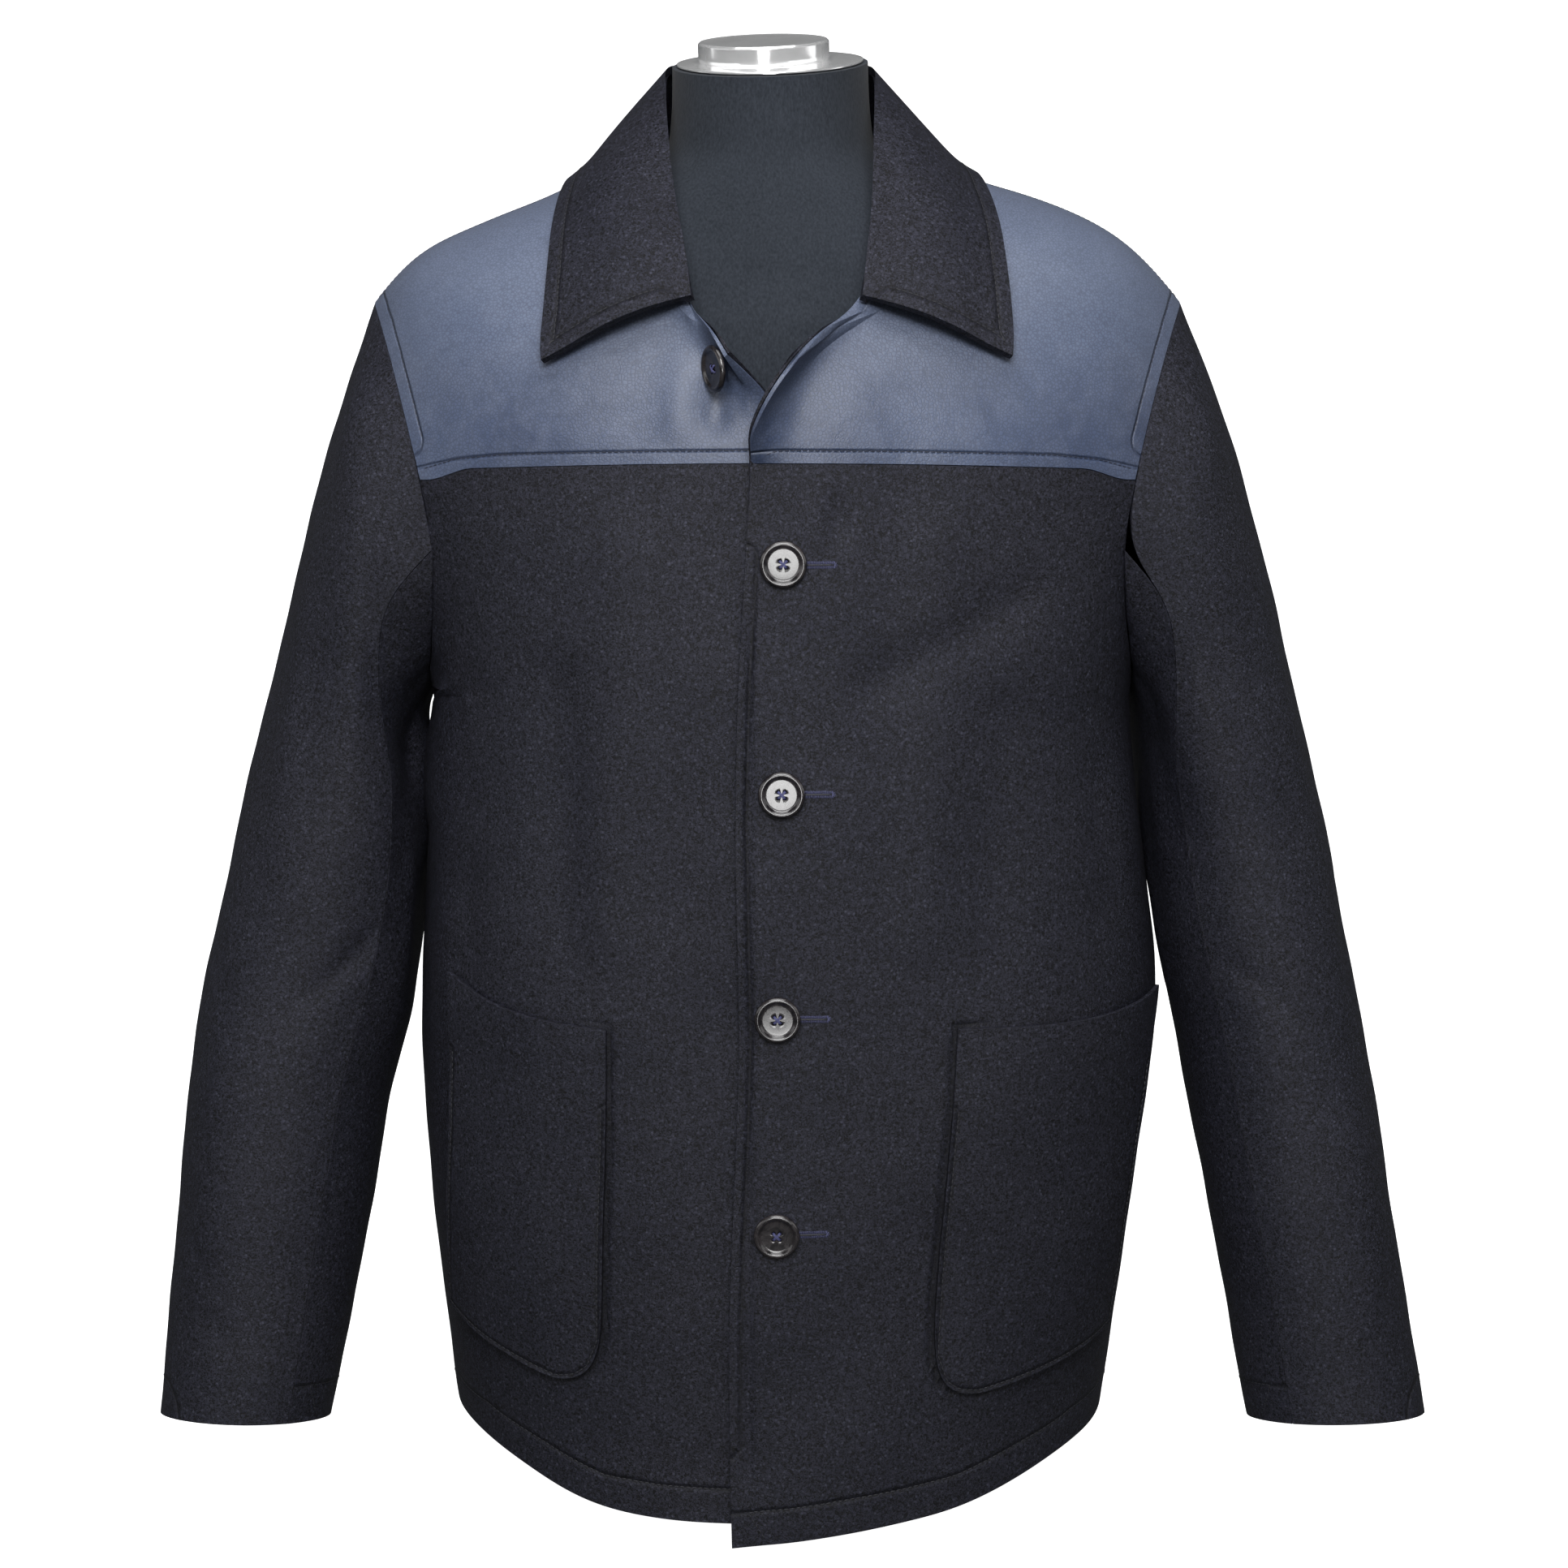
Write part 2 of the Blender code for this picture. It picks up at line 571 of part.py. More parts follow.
def collar_grid():
    """Visible face of the collar: columns round the neck, rows from the neck seam to the outer edge."""
    half = []
    for station, bulge in zip(COLLAR_STATIONS, COLLAR_BULGES):
        seam, fold, edge = Vector(station[0:3]), Vector(station[3:6]), Vector(station[6:9])
        column = [seam.lerp(fold, step / (STAND_ROWS + 0.5)) for step in range(STAND_ROWS + 1)]
        fall = edge - fold
        lift_direction = Vector((seam.x, seam.y, BULGE_RISE)).normalized()
        column.append(fold)
        for step in range(1, FALL_ROWS + 1):
            share = step / FALL_ROWS
            point = fold + fall * share
            point += lift_direction * bulge * sin(pi * min(share * BULGE_RUN, 1.0))
            column.append(pushed_out(point, COLLAR_CLOTH + COLLAR_CLEAR))
        half.append(column)
    left = [[placed(point, 1) for point in column] for column in half]
    right = [[placed(point, -1) for point in column] for column in half[:-1]]
    columns = right + list(reversed(left))
    return [[column[row] for column in columns] for row in range(len(columns[0]))]


def pocket_grid(pocket):
    """Inner face of a patch pocket on its front, rows from the bottom to the mouth."""
    side, inner_top, inner_low, outer_top, outer_low, inner_high, inner_base, outer_high, outer_base = pocket
    heights = [POCKET_CORNER * share for share in POCKET_ROW_SHARES]
    grid = []
    for step in range(len(heights) + POCKET_UPPER_ROWS):
        row = []
        for column in range(POCKET_COLUMNS + 1):
            share = column / POCKET_COLUMNS
            base = inner_base + (outer_base - inner_base) * share
            high = inner_high + (outer_high - inner_high) * share - POCKET_DIP * sin(pi * share)
            if step < len(heights):
                z = base + heights[step]
            else:
                climb = (step - len(heights) + 1) / POCKET_UPPER_ROWS
                z = base + POCKET_CORNER + (high - base - POCKET_CORNER) * climb
            level = (z - base) / (high - base)
            inner = inner_low + (inner_top - inner_low) * level
            outer = outer_low + (outer_top - outer_low) * level
            drop = max(POCKET_CORNER - (z - base), 0.0)
            inner += POCKET_CORNER - sqrt(POCKET_CORNER ** 2 - drop ** 2)
            first, last = ring_turn(inner, z), ring_turn(outer, z)
            point = ring_point(first + (last - first) * share, z)
            gape = POCKET_GAPE * ease(0.75, 1.0, level) * sin(pi * share)
            lift = LAY + gape
            if side > 0:
                lift += overlap_lift(point.x, z)
            row.append(placed(pushed_out(point, lift), side))
        grid.append(row)
    return grid


def grid_normals(grid, flip):
    """Unit normals of a grid of points."""
    last_row, last_column = len(grid) - 1, len(grid[0]) - 1
    normals = []
    for r, row in enumerate(grid):
        line = []
        for c, _ in enumerate(row):
            down = grid[min(r + 1, last_row)][c] - grid[max(r - 1, 0)][c]
            across = grid[r][min(c + 1, last_column)] - grid[r][max(c - 1, 0)]
            normal = across.cross(down)
            line.append((normal if not flip else -normal).normalized())
        normals.append(line)
    return normals


def key_of(point):
    return tuple(round(value * 1e5) for value in point)


def seam_normals(grids):
    """Normals of all grids, made one where pieces share a seam point."""
    sums = {}
    for grid, flip in grids:
        for row, line in zip(grid, grid_normals(grid, flip)):
            for point, normal in zip(row, line):
                key = key_of(point)
                sums[key] = sums.get(key, Vector((0.0, 0.0, 0.0))) + normal
    return {key: value.normalized() for key, value in sums.items()}


def drawn_in(grid, normals, distance):
    """The grid with its border drawn in along the cloth by a distance."""
    last_row, last_column = len(grid) - 1, len(grid[0]) - 1
    result = [[Vector(point) for point in row] for row in grid]
    for r, row in enumerate(grid):
        for c, point in enumerate(row):
            normal = normals[r][c]
            shift = Vector((0.0, 0.0, 0.0))
            if r in (0, last_row):
                inward = grid[1 if r == 0 else r - 1][c] - point
                tangent = (grid[r][min(c + 1, last_column)] - grid[r][max(c - 1, 0)]).normalized()
                inward -= tangent * inward.dot(tangent)
                inward -= normal * inward.dot(normal)
                shift += inward.normalized() * distance
            if c in (0, last_column):
                inward = grid[r][1 if c == 0 else c - 1] - point
                tangent = (grid[min(r + 1, last_row)][c] - grid[max(r - 1, 0)][c]).normalized()
                inward -= tangent * inward.dot(tangent)
                inward -= normal * inward.dot(normal)
                shift += inward.normalized() * distance
            result[r][c] = point + shift
    return result


def wall(name, grid, normals, thickness, material, collection, flip, set_back=0.0):
    """A closed wall of cloth: the grid is its outer face, and its thickness goes in."""
    rows, columns = len(grid), len(grid[0])
    mesh = bpy.data.meshes.new(name)
    build = bmesh.new()
    outer, inner = [], []
    for r in range(rows):
        outer.append([build.verts.new(grid[r][c] - normals[r][c] * set_back) for c in range(columns)])
        inner.append([build.verts.new(grid[r][c] - normals[r][c] * (set_back + thickness))
                      for c in range(columns)])

    def face(*corners):
        build.faces.new(corners if not flip else tuple(reversed(corners)))

    for r in range(rows - 1):
        for c in range(columns - 1):
            face(outer[r][c], outer[r][c + 1], outer[r + 1][c + 1], outer[r + 1][c])
            face(inner[r][c], inner[r + 1][c], inner[r + 1][c + 1], inner[r][c + 1])

    def rim(outer_first, outer_last, inner_last, inner_first):
        if (outer_first.co - outer_last.co).dot(RIM_ORDER) < 0.0:
            face(outer_first, outer_last, inner_last)
            face(outer_first, inner_last, inner_first)
        else:
            face(outer_first, outer_last, inner_first)
            face(outer_last, inner_last, inner_first)

    for c in range(columns - 1):
        rim(outer[0][c + 1], outer[0][c], inner[0][c], inner[0][c + 1])
        rim(outer[-1][c], outer[-1][c + 1], inner[-1][c + 1], inner[-1][c])
    for r in range(rows - 1):
        rim(outer[r][0], outer[r + 1][0], inner[r + 1][0], inner[r][0])
        rim(outer[r + 1][-1], outer[r][-1], inner[r][-1], inner[r + 1][-1])
    build.to_mesh(mesh)
    build.free()
    return finished(name, mesh, material, collection)


def finished(name, mesh, material, collection):
    mesh.materials.append(material)
    mesh.shade_smooth()
    mesh.set_sharp_from_angle(angle=radians(40.0))
    piece = bpy.data.objects.new(name, mesh)
    collection.objects.link(piece)
    return piece


def finish(name, colour, roughness, metallic=0.0):
    material = bpy.data.materials.new(name)
    material.use_nodes = True
    shader = material.node_tree.nodes["Principled BSDF"]
    shader.inputs["Base Color"].default_value = (*colour, 1.0)
    shader.inputs["Roughness"].default_value = roughness
    shader.inputs["Metallic"].default_value = metallic
    return material


def button_mesh():
    """Half outline of a button, turned round by a Screw modifier: its face, its rim and its back."""
    outline = (
        (0.0, 0.62),
        (0.58, 0.62),
        (0.66, 0.50),
        (0.76, 0.92),
        (0.88, 1.00),
        (0.985, 0.68),
        (0.94, 0.16),
        (0.72, 0.0),
        (0.0, 0.0),
    )
    mesh = bpy.data.meshes.new("button")
    points = [(BUTTON_RADIUS * across, 0.0, BUTTON_THICKNESS * up) for across, up in outline]
    mesh.from_pydata(points, [(i, i + 1) for i in range(len(points) - 1)], [])
    return mesh


def turned(piece, steps):
    screw = piece.modifiers.new("Turn", "SCREW")
    screw.steps = steps
    screw.render_steps = steps
    screw.use_merge_vertices = True
    screw.merge_threshold = 0.00005
    screw.use_smooth_shade = True


def button(name, place, faces, material, collection, cutters):
    """A button with four holes, its back at place and its front facing along faces."""
    mesh = button_mesh()
    mesh.materials.append(material)
    piece = bpy.data.objects.new(name, mesh)
    collection.objects.link(piece)
    turn = Vector(faces).to_track_quat("Z", "Y").to_matrix()
    piece.matrix_world = Matrix.Translation(place) @ turn.to_4x4()
    turned(piece, BUTTON_SIDES)
    holes = bmesh.new()
    for quarter in range(4):
        turn = pi / 4 + quarter * pi / 2
        centre = Vector((cos(turn), sin(turn), 0.0)) * BUTTON_HOLE_RING
        centre.z = BUTTON_THICKNESS / 2
        bmesh.ops.create_cone(holes, cap_ends=True, segments=6, radius1=BUTTON_HOLE, radius2=BUTTON_HOLE,
                              depth=BUTTON_THICKNESS * 3, matrix=Matrix.Translation(centre))
    cutter_mesh = bpy.data.meshes.new(name + "_holes")
    holes.to_mesh(cutter_mesh)
    holes.free()
    cutter = bpy.data.objects.new(name + "_holes", cutter_mesh)
    cutters.objects.link(cutter)
    cutter.matrix_world = piece.matrix_world
    cutter.hide_render = True
    cutter.display_type = "WIRE"
    cut = piece.modifiers.new("Holes", "BOOLEAN")
    cut.operation = "DIFFERENCE"
    cut.solver = "EXACT"
    cut.object = cutter


def form_shift(z):
    """The form's base is centred; its shoulders and neck follow the jacket's own middle."""
    return along(BODY_SHIFT, z) * ease(0.30, YOKE_LINE, z)


def form_section_points(row):
    """One ring of the dress form, drawn in where the jacket leaves less room."""
    height, width, front_depth, back_depth, power = row
    ring = []
    for step in range(FORM_SIDES):
        turn = 2 * pi * step / FORM_SIDES
        depth = back_depth if sin(turn) >= 0.0 else front_depth
        x = width * signed_power(cos(turn), 2.0 / power)
        y = depth * signed_power(sin(turn), 2.0 / power)
        low, high = 0.0, 1.0
        if height < FORM_FREE_ABOVE and not clear_inside(x, y, height):
            for _ in range(FORM_HALVINGS):
                middle = (low + high) / 2
                if clear_inside(x * middle, y * middle, height):
                    low = middle
                else:
                    high = middle
        else:
            low = 1.0
        x, y = x * low, y * low
        tilt = ease(FORM_FREE_ABOVE, FORM_SECTIONS[-1][0], height)
        z = height + tilt * (tan(NECK_TILT) * y + NECK_ROLL * x)
        z += shoulder_lean(abs(x), height) * (1.0 if x >= 0.0 else -1.0)
        ring.append(Vector((x + form_shift(height), y, z)))
    return ring


def clear_inside(x, y, z):
    """True where the form leaves room for the cloth; nothing covers it in the neck opening."""
    if z > YOKE_LINE and abs(x) < along(NECK_OPENING, z) and y < NECK_BACK:
        return True
    distance, _ = outside_by(Vector((x, y, z)))
    return distance <= -FORM_CLEAR


def dress_form(name, material, collection):
    build = bmesh.new()
    rings = []
    for row in FORM_SECTIONS:
        rings.append([build.verts.new(point) for point in form_section_points(row)])
    for lower, upper in zip(rings, rings[1:]):
        for index in range(FORM_SIDES):
            after = (index + 1) % FORM_SIDES
            build.faces.new((lower[index], lower[after], upper[after], upper[index]))
    build.faces.new(tuple(reversed(rings[0])))
    build.faces.new(tuple(rings[-1]))
    mesh = bpy.data.meshes.new(name)
    build.to_mesh(mesh)
    build.free()
    return finished(name, mesh, material, collection)


def neck_cap(name, material, collection):
    """Metal cap with a brim that stands square on the sloping top of the neck."""
    top, width, front_depth, back_depth, _ = FORM_SECTIONS[-1]
    build = bmesh.new()
    rings = []
    for share, height in CAP_BRIM:
        ring = []
        for step in range(CAP_SIDES):
            turn = 2 * pi * step / CAP_SIDES
            depth = back_depth if sin(turn) >= 0.0 else front_depth
            ring.append(build.verts.new((width * share * cos(turn), depth * share * sin(turn), height)))
        rings.append(ring)
    for radius, height in CAP_DRUM:
        ring = []
        for step in range(CAP_SIDES):
            turn = 2 * pi * step / CAP_SIDES
            x, y = CAP_PLACE[0] + radius * cos(turn), CAP_PLACE[1] + radius * sin(turn)
            ring.append(build.verts.new((x, y, height)))
        rings.append(ring)
    for lower, upper in zip(rings, rings[1:]):
        for index in range(CAP_SIDES):
            after = (index + 1) % CAP_SIDES
            build.faces.new((lower[index], lower[after], upper[after], upper[index]))
    build.faces.new(tuple(reversed(rings[0])))
    build.faces.new(tuple(rings[-1]))
    mesh = bpy.data.meshes.new(name)
    build.to_mesh(mesh)
    build.free()
    piece = finished(name, mesh, material, collection)
    up = Vector((-NECK_ROLL, -tan(NECK_TILT), 1.0)).normalized()
    across = Vector((1.0, 0.0, NECK_ROLL)).normalized()
    frame = Matrix((across, up.cross(across), up)).transposed()
    base = Vector((form_shift(top), 0.0, top))
    piece.matrix_world = Matrix.Translation(base + up * SEAM) @ frame.to_4x4()


def main():
    for old in list(bpy.data.objects):
        bpy.data.objects.remove(old, do_unlink=True)
    collection = bpy.data.collections.new("donkey_jacket_on_dress_form")
    bpy.context.scene.collection.children.link(collection)
    cutters = bpy.data.collections.new("cutters")
    bpy.context.scene.collection.children.link(cutters)

    wool = finish("navy_melton", (0.030, 0.031, 0.038), 0.95)
    leather = finish("navy_leather", (0.080, 0.100, 0.160), 0.42)
    horn = finish("dark_horn", (0.020, 0.017, 0.016), 0.25)
    jersey = finish("slate_jersey", (0.048, 0.056, 0.075), 0.9)
    chrome = finish("chrome", (0.75, 0.75, 0.76), 0.08, 1.0)

    fronts = {side: front_grid(side) for side in (1, -1)}
    yokes = {side: front_yoke_grid(side) for side in (1, -1)}
    back, back_yoke = back_grid(), back_yoke_grid()
    tubes = {side: sleeve_grid(side) for side in (1, -1)}
    half = len(tubes[1][0]) // 2
    cut = half - UNDER_SLEEVE_COLUMNS
    joined = [(back, True), (back_yoke, True)]
    for side in (1, -1):
        joined += [(fronts[side], side < 0), (yokes[side], side < 0)]
        joined.append((split_tube(tubes[side], -cut, cut), side < 0))
        joined.append((split_tube(tubes[side], cut, 2 * half - cut), side < 0))
    table = seam_normals(joined)
    for side in (1, -1):
        table[key_of(tubes[side][0][half])] = Vector((ARMPIT_MITRE[0] * side, *ARMPIT_MITRE[1:])).normalized()

    def cloth(name, grid, thickness, material, flip, set_back=0.0):
        normals = [[table[key_of(point)] for point in row] for row in grid]
        edged = drawn_in(grid, normals, SEAM / 2 + SEAM_SPARE)
        return wall(name, edged, normals, thickness, material, collection, flip, set_back)

    cloth("back", back, WOOL, wool, True)
    cloth("back_yoke", back_yoke, LEATHER, leather, True)
    for side, word in ((1, "left"), (-1, "right")):
        cloth(word + "_front", fronts[side], WOOL, wool, side < 0)
        cloth(word + "_front_yoke", yokes[side], LEATHER, leather, side < 0)
        upper = split_tube(tubes[side], -cut, cut)
        under = split_tube(tubes[side], cut, 2 * half - cut)
        cloth(word + "_upper_sleeve", upper, WOOL, wool, side < 0)
        cloth(word + "_under_sleeve", under, WOOL, wool, side < 0)
        facing = [row[:FACING_COLUMNS] for row in fronts[side] + yokes[side][1:FACING_YOKE_ROWS]]
        cloth(word + "_facing", facing, FACING_CLOTH, wool, side < 0, WOOL + FACING_GAP)

    collar = collar_grid()
    wall("collar", collar, grid_normals(collar, False), COLLAR_CLOTH, wool, collection, False)
    for pocket in POCKETS:
        side = pocket[0]
        grid = pocket_grid(pocket)
        normals = grid_normals(grid, side < 0)
        name = ("left" if side > 0 else "right") + "_patch_pocket"
        wall(name, grid, normals, WOOL, wool, collection, side < 0, -WOOL)

    for index, (z, x) in enumerate(zip(BUTTON_HEIGHTS, BUTTON_X)):
        lift = OVERLAP_LIFT + LAY
        here = Vector((x, -section(z)[1] - lift, z))
        slope = (section(z + 0.01)[1] - section(z - 0.01)[1]) / 0.02
        button(f"button_{index + 2}", here, (0.0, -1.0, -slope), horn, collection, cutters)
    button("button_1", TOP_BUTTON_PLACE, TOP_BUTTON_FACES, horn, collection, cutters)

    dress_form("dress_form", jersey, collection)
    neck_cap("neck_cap", chrome, collection)


main()
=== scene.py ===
import math

import bmesh
import bpy
import numpy as np
from mathutils import Matrix, Vector, kdtree
from mathutils.bvhtree import BVHTree


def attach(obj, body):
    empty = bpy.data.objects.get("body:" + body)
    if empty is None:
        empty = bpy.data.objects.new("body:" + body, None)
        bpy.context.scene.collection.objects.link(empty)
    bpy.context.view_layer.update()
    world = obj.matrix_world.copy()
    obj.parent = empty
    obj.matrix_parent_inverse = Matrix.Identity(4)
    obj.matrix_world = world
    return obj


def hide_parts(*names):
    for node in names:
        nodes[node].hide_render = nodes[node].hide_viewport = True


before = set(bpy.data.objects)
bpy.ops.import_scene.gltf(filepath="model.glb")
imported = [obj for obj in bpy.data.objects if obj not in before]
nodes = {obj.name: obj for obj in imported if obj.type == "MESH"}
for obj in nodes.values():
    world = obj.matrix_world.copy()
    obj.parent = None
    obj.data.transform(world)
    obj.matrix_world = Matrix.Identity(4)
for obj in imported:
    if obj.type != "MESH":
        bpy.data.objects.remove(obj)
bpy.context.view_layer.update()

scene = bpy.context.scene
scene.view_settings.view_transform = "Standard"
print("frame loaded:", len(nodes), "nodes")


# camera, floor and lights

photoFrame = {
    "photoWidth": 1932,
    "focalPixels": 3360.0,
    "place": (0.005, -1.6, 0.6406),
    "pitchDown": 7.9,
}
cameraData = bpy.data.cameras.new("photoCamera")
cameraData.sensor_width = 36.0
cameraData.lens = photoFrame["focalPixels"] / photoFrame["photoWidth"] * cameraData.sensor_width
camera = bpy.data.objects.new("photoCamera", cameraData)
camera.location = photoFrame["place"]
camera.rotation_euler = (math.radians(90.0 - photoFrame["pitchDown"]), 0.0, 0.0)
scene.collection.objects.link(camera)
scene.camera = camera


def deselectAll():
    if bpy.context.object and bpy.context.object.mode != "OBJECT":
        bpy.ops.object.mode_set(mode="OBJECT")
    bpy.ops.object.select_all(action="DESELECT")


def makeActive(piece):
    deselectAll()
    piece.select_set(True)
    bpy.context.view_layer.objects.active = piece


def applyModifier(piece, kind, label, **values):
    makeActive(piece)
    modifier = piece.modifiers.new(label, kind)
    for key, value in values.items():
        setattr(modifier, key, value)
    bpy.ops.object.modifier_apply(modifier=modifier.name)


def plainMaterial(name, color, roughness, glow=0.0):
    material = bpy.data.materials.new(name)
    material.use_nodes = True
    shader = material.node_tree.nodes["Principled BSDF"]
    shader.inputs["Base Color"].default_value = (*color, 1.0)
    shader.inputs["Roughness"].default_value = roughness
    shader.inputs["Emission Color"].default_value = (1.0, 1.0, 1.0, 1.0)
    shader.inputs["Emission Strength"].default_value = glow
    return material


studio = {
    "paperWidth": 9.0,
    "paperRows": ((-0.55, 0.0), (2.2, 0.0), (3.0, 0.25), (3.4, 0.9), (3.5, 5.0)),  # depth and height
    "paperColor": (0.90, 0.90, 0.90),
    "paperGlow": 1.05,
    "worldColor": (0.96, 0.98, 1.0),
    "worldStrength": 0.13,
    "lights": (
        # name, place, aims at, size, watts, lights matt surfaces too
        ("overheadBox", (0.0, -0.75, 2.5), (0.0, -0.05, 0.60), (1.9, 1.2), 30.0, True),
        ("leftBox", (-2.0, -1.9, 1.2), (0.0, 0.0, 0.45), (0.5, 1.4), 1.6, True),
        ("rightBox", (2.0, -1.9, 1.2), (0.0, 0.0, 0.45), (0.5, 1.4), 1.6, True),
        ("keyBox", (0.0, -1.80, 1.55), (0.0, 0.0, 0.58), (1.1, 0.8), 39.0, True),
        ("glintBox", (0.0, -2.6, 0.22), (0.0, 0.0, 0.48), (0.7, 0.70), 24.0, False),
        ("capLeft", (-2.2, -0.6, 1.1), (0.0, 0.0, 0.84), (2.6, 1.0), 10.0, False),
        ("capRight", (2.2, -0.6, 1.1), (0.0, 0.0, 0.84), (2.6, 1.0), 10.0, False),
        ("capBox", (0.0, -3.0, 1.35), (0.0, 0.0, 0.84), (6.0, 0.8), 30.0, False),
    ),
}
deselectAll()
bpy.ops.mesh.primitive_plane_add(size=1.0, location=(0.0, 0.0, 0.0))
paper = bpy.context.object
paper.name = "studioPaper"
paperMesh = bmesh.new()
previousRow = None
for rowY, rowZ in studio["paperRows"]:
    row = [paperMesh.verts.new((side * studio["paperWidth"] / 2, rowY, rowZ)) for side in (-1, 1)]
    if previousRow:
        paperMesh.faces.new((previousRow[0], previousRow[1], row[1], row[0]))
    previousRow = row
paperMesh.to_mesh(paper.data)
paperMesh.free()
paper.data.shade_smooth()
paper.data.materials.append(plainMaterial("palePaper", studio["paperColor"], 0.9, studio["paperGlow"]))
paper.visible_diffuse = False
paper.visible_glossy = False
world = bpy.data.worlds.new("studioWorld")
world.use_nodes = True
world.node_tree.nodes["Background"].inputs["Color"].default_value = (*studio["worldColor"], 1.0)
world.node_tree.nodes["Background"].inputs["Strength"].default_value = studio["worldStrength"]
scene.world = world
for name, place, aim, size, watts, onMatt in studio["lights"]:
    lightData = bpy.data.lights.new(name, "AREA")
    lightData.shape = "RECTANGLE"
    lightData.size, lightData.size_y = size
    lightData.energy = watts
    light = bpy.data.objects.new(name, lightData)
    light.location = place
    light.rotation_euler = (Vector(aim) - Vector(place)).to_track_quat("-Z", "Y").to_euler()
    light.visible_diffuse = onMatt
    scene.collection.objects.link(light)
print("camera, paper and", len(studio["lights"]), "lights set")


# shader groups that more than one material uses

def newGroup(name, inputs, outputs):
    group = bpy.data.node_groups.new(name, "ShaderNodeTree")
    for label, kind, value in inputs:
        socket = group.interface.new_socket(name=label, in_out="INPUT", socket_type=kind)
        if value is not None:
            socket.default_value = value
    for label, kind in outputs:
        group.interface.new_socket(name=label, in_out="OUTPUT", socket_type=kind)
    entry = group.nodes.new("NodeGroupInput")
    leave = group.nodes.new("NodeGroupOutput")
    return group, entry, leave


def addNode(tree, kind, **values):
    node = tree.nodes.new(kind)
    for key, value in values.items():
        if key in node.inputs:
            node.inputs[key].default_value = value
        else:
            setattr(node, key, value)
    return node


def mathNode(tree, operation, first, second=None):
    node = tree.nodes.new("ShaderNodeMath")
    node.operation = operation
    for index, value in enumerate((first, second)):
        if value is None:
            continue
        if hasattr(value, "links"):
            tree.links.new(value, node.inputs[index])
        else:
            node.inputs[index].default_value = value
    return node.outputs[0]


def rampNode(tree, source, stops):
    node = tree.nodes.new("ShaderNodeValToRGB")
    tree.links.new(source, node.inputs["Fac"])
    ramp = node.color_ramp
    while len(ramp.elements) < len(stops):
        ramp.elements.new(0.5)
    for element, (position, level) in zip(ramp.elements, stops):
        element.position = position
        element.color = (level, level, level, 1.0)
    return node.outputs["Color"]


def mixColors(tree, factor, first, second, blend="MIX"):
    node = tree.nodes.new("ShaderNodeMix")
    node.data_type = "RGBA"
    node.blend_type = blend
    for socket, value in ((node.inputs[0], factor), (node.inputs[6], first), (node.inputs[7], second)):
        if hasattr(value, "links"):
            tree.links.new(value, socket)
        else:
            socket.default_value = value
    return node.outputs[2]


def newMaterial(name):
    material = bpy.data.materials.new(name)
    material.use_nodes = True
    tree = material.node_tree
    return material, tree, tree.nodes["Principled BSDF"], tree.nodes.new("ShaderNodeTexCoord")


def objectNoise(tree, place, **values):
    noise = addNode(tree, "ShaderNodeTexNoise", **values)
    tree.links.new(place.outputs["Object"], noise.inputs["Vector"])
    return noise.outputs["Fac"]


def bumpNode(tree, height, strength, distance, below=None):
    bump = addNode(tree, "ShaderNodeBump", Strength=strength, Distance=distance)
    tree.links.new(height, bump.inputs["Height"])
    if below is not None:
        tree.links.new(below, bump.inputs["Normal"])
    return bump.outputs["Normal"]


def roughBetween(tree, shader, source, limits):
    rough = tree.nodes.new("ShaderNodeMapRange")
    rough.inputs["To Min"].default_value, rough.inputs["To Max"].default_value = limits
    tree.links.new(source, rough.inputs["Value"])
    tree.links.new(rough.outputs["Result"], shader.inputs["Roughness"])


# short matted fibres: shades, pale flecks and their height
napGroup, napIn, napOut = newGroup(
    "feltedNap",
    [("Vector", "NodeSocketVector", None), ("Fibre Scale", "NodeSocketFloat", 900.0),
     ("Cloud Scale", "NodeSocketFloat", 14.0)],
    [("Shade", "NodeSocketFloat"), ("Cloud", "NodeSocketFloat"), ("Fleck", "NodeSocketFloat"),
     ("Height", "NodeSocketFloat")],
)
fibreNoise = addNode(napGroup, "ShaderNodeTexNoise", Detail=3.0, Roughness=0.7, Distortion=1.2)
napGroup.links.new(napIn.outputs["Vector"], fibreNoise.inputs["Vector"])
napGroup.links.new(napIn.outputs["Fibre Scale"], fibreNoise.inputs["Scale"])
cloudNoise = addNode(napGroup, "ShaderNodeTexNoise", Detail=5.0, Roughness=0.62)
napGroup.links.new(napIn.outputs["Vector"], cloudNoise.inputs["Vector"])
napGroup.links.new(napIn.outputs["Cloud Scale"], cloudNoise.inputs["Scale"])
fleckScale = mathNode(napGroup, "MULTIPLY", napIn.outputs["Fibre Scale"], 0.42)
fleckCells = addNode(napGroup, "ShaderNodeTexVoronoi", Randomness=1.0)
napGroup.links.new(napIn.outputs["Vector"], fleckCells.inputs["Vector"])
napGroup.links.new(fleckScale, fleckCells.inputs["Scale"])
fleckMask = rampNode(napGroup, fleckCells.outputs["Distance"], ((0.0, 1.0), (0.16, 0.35), (0.30, 0.0)))
matted = mathNode(napGroup, "MULTIPLY_ADD", cloudNoise.outputs["Fac"], 0.35)
napGroup.links.new(fibreNoise.outputs["Fac"], matted.node.inputs[2])
napGroup.links.new(fibreNoise.outputs["Fac"], napOut.inputs["Shade"])
napGroup.links.new(cloudNoise.outputs["Fac"], napOut.inputs["Cloud"])
napGroup.links.new(fleckMask, napOut.inputs["Fleck"])
napGroup.links.new(matted, napOut.inputs["Height"])


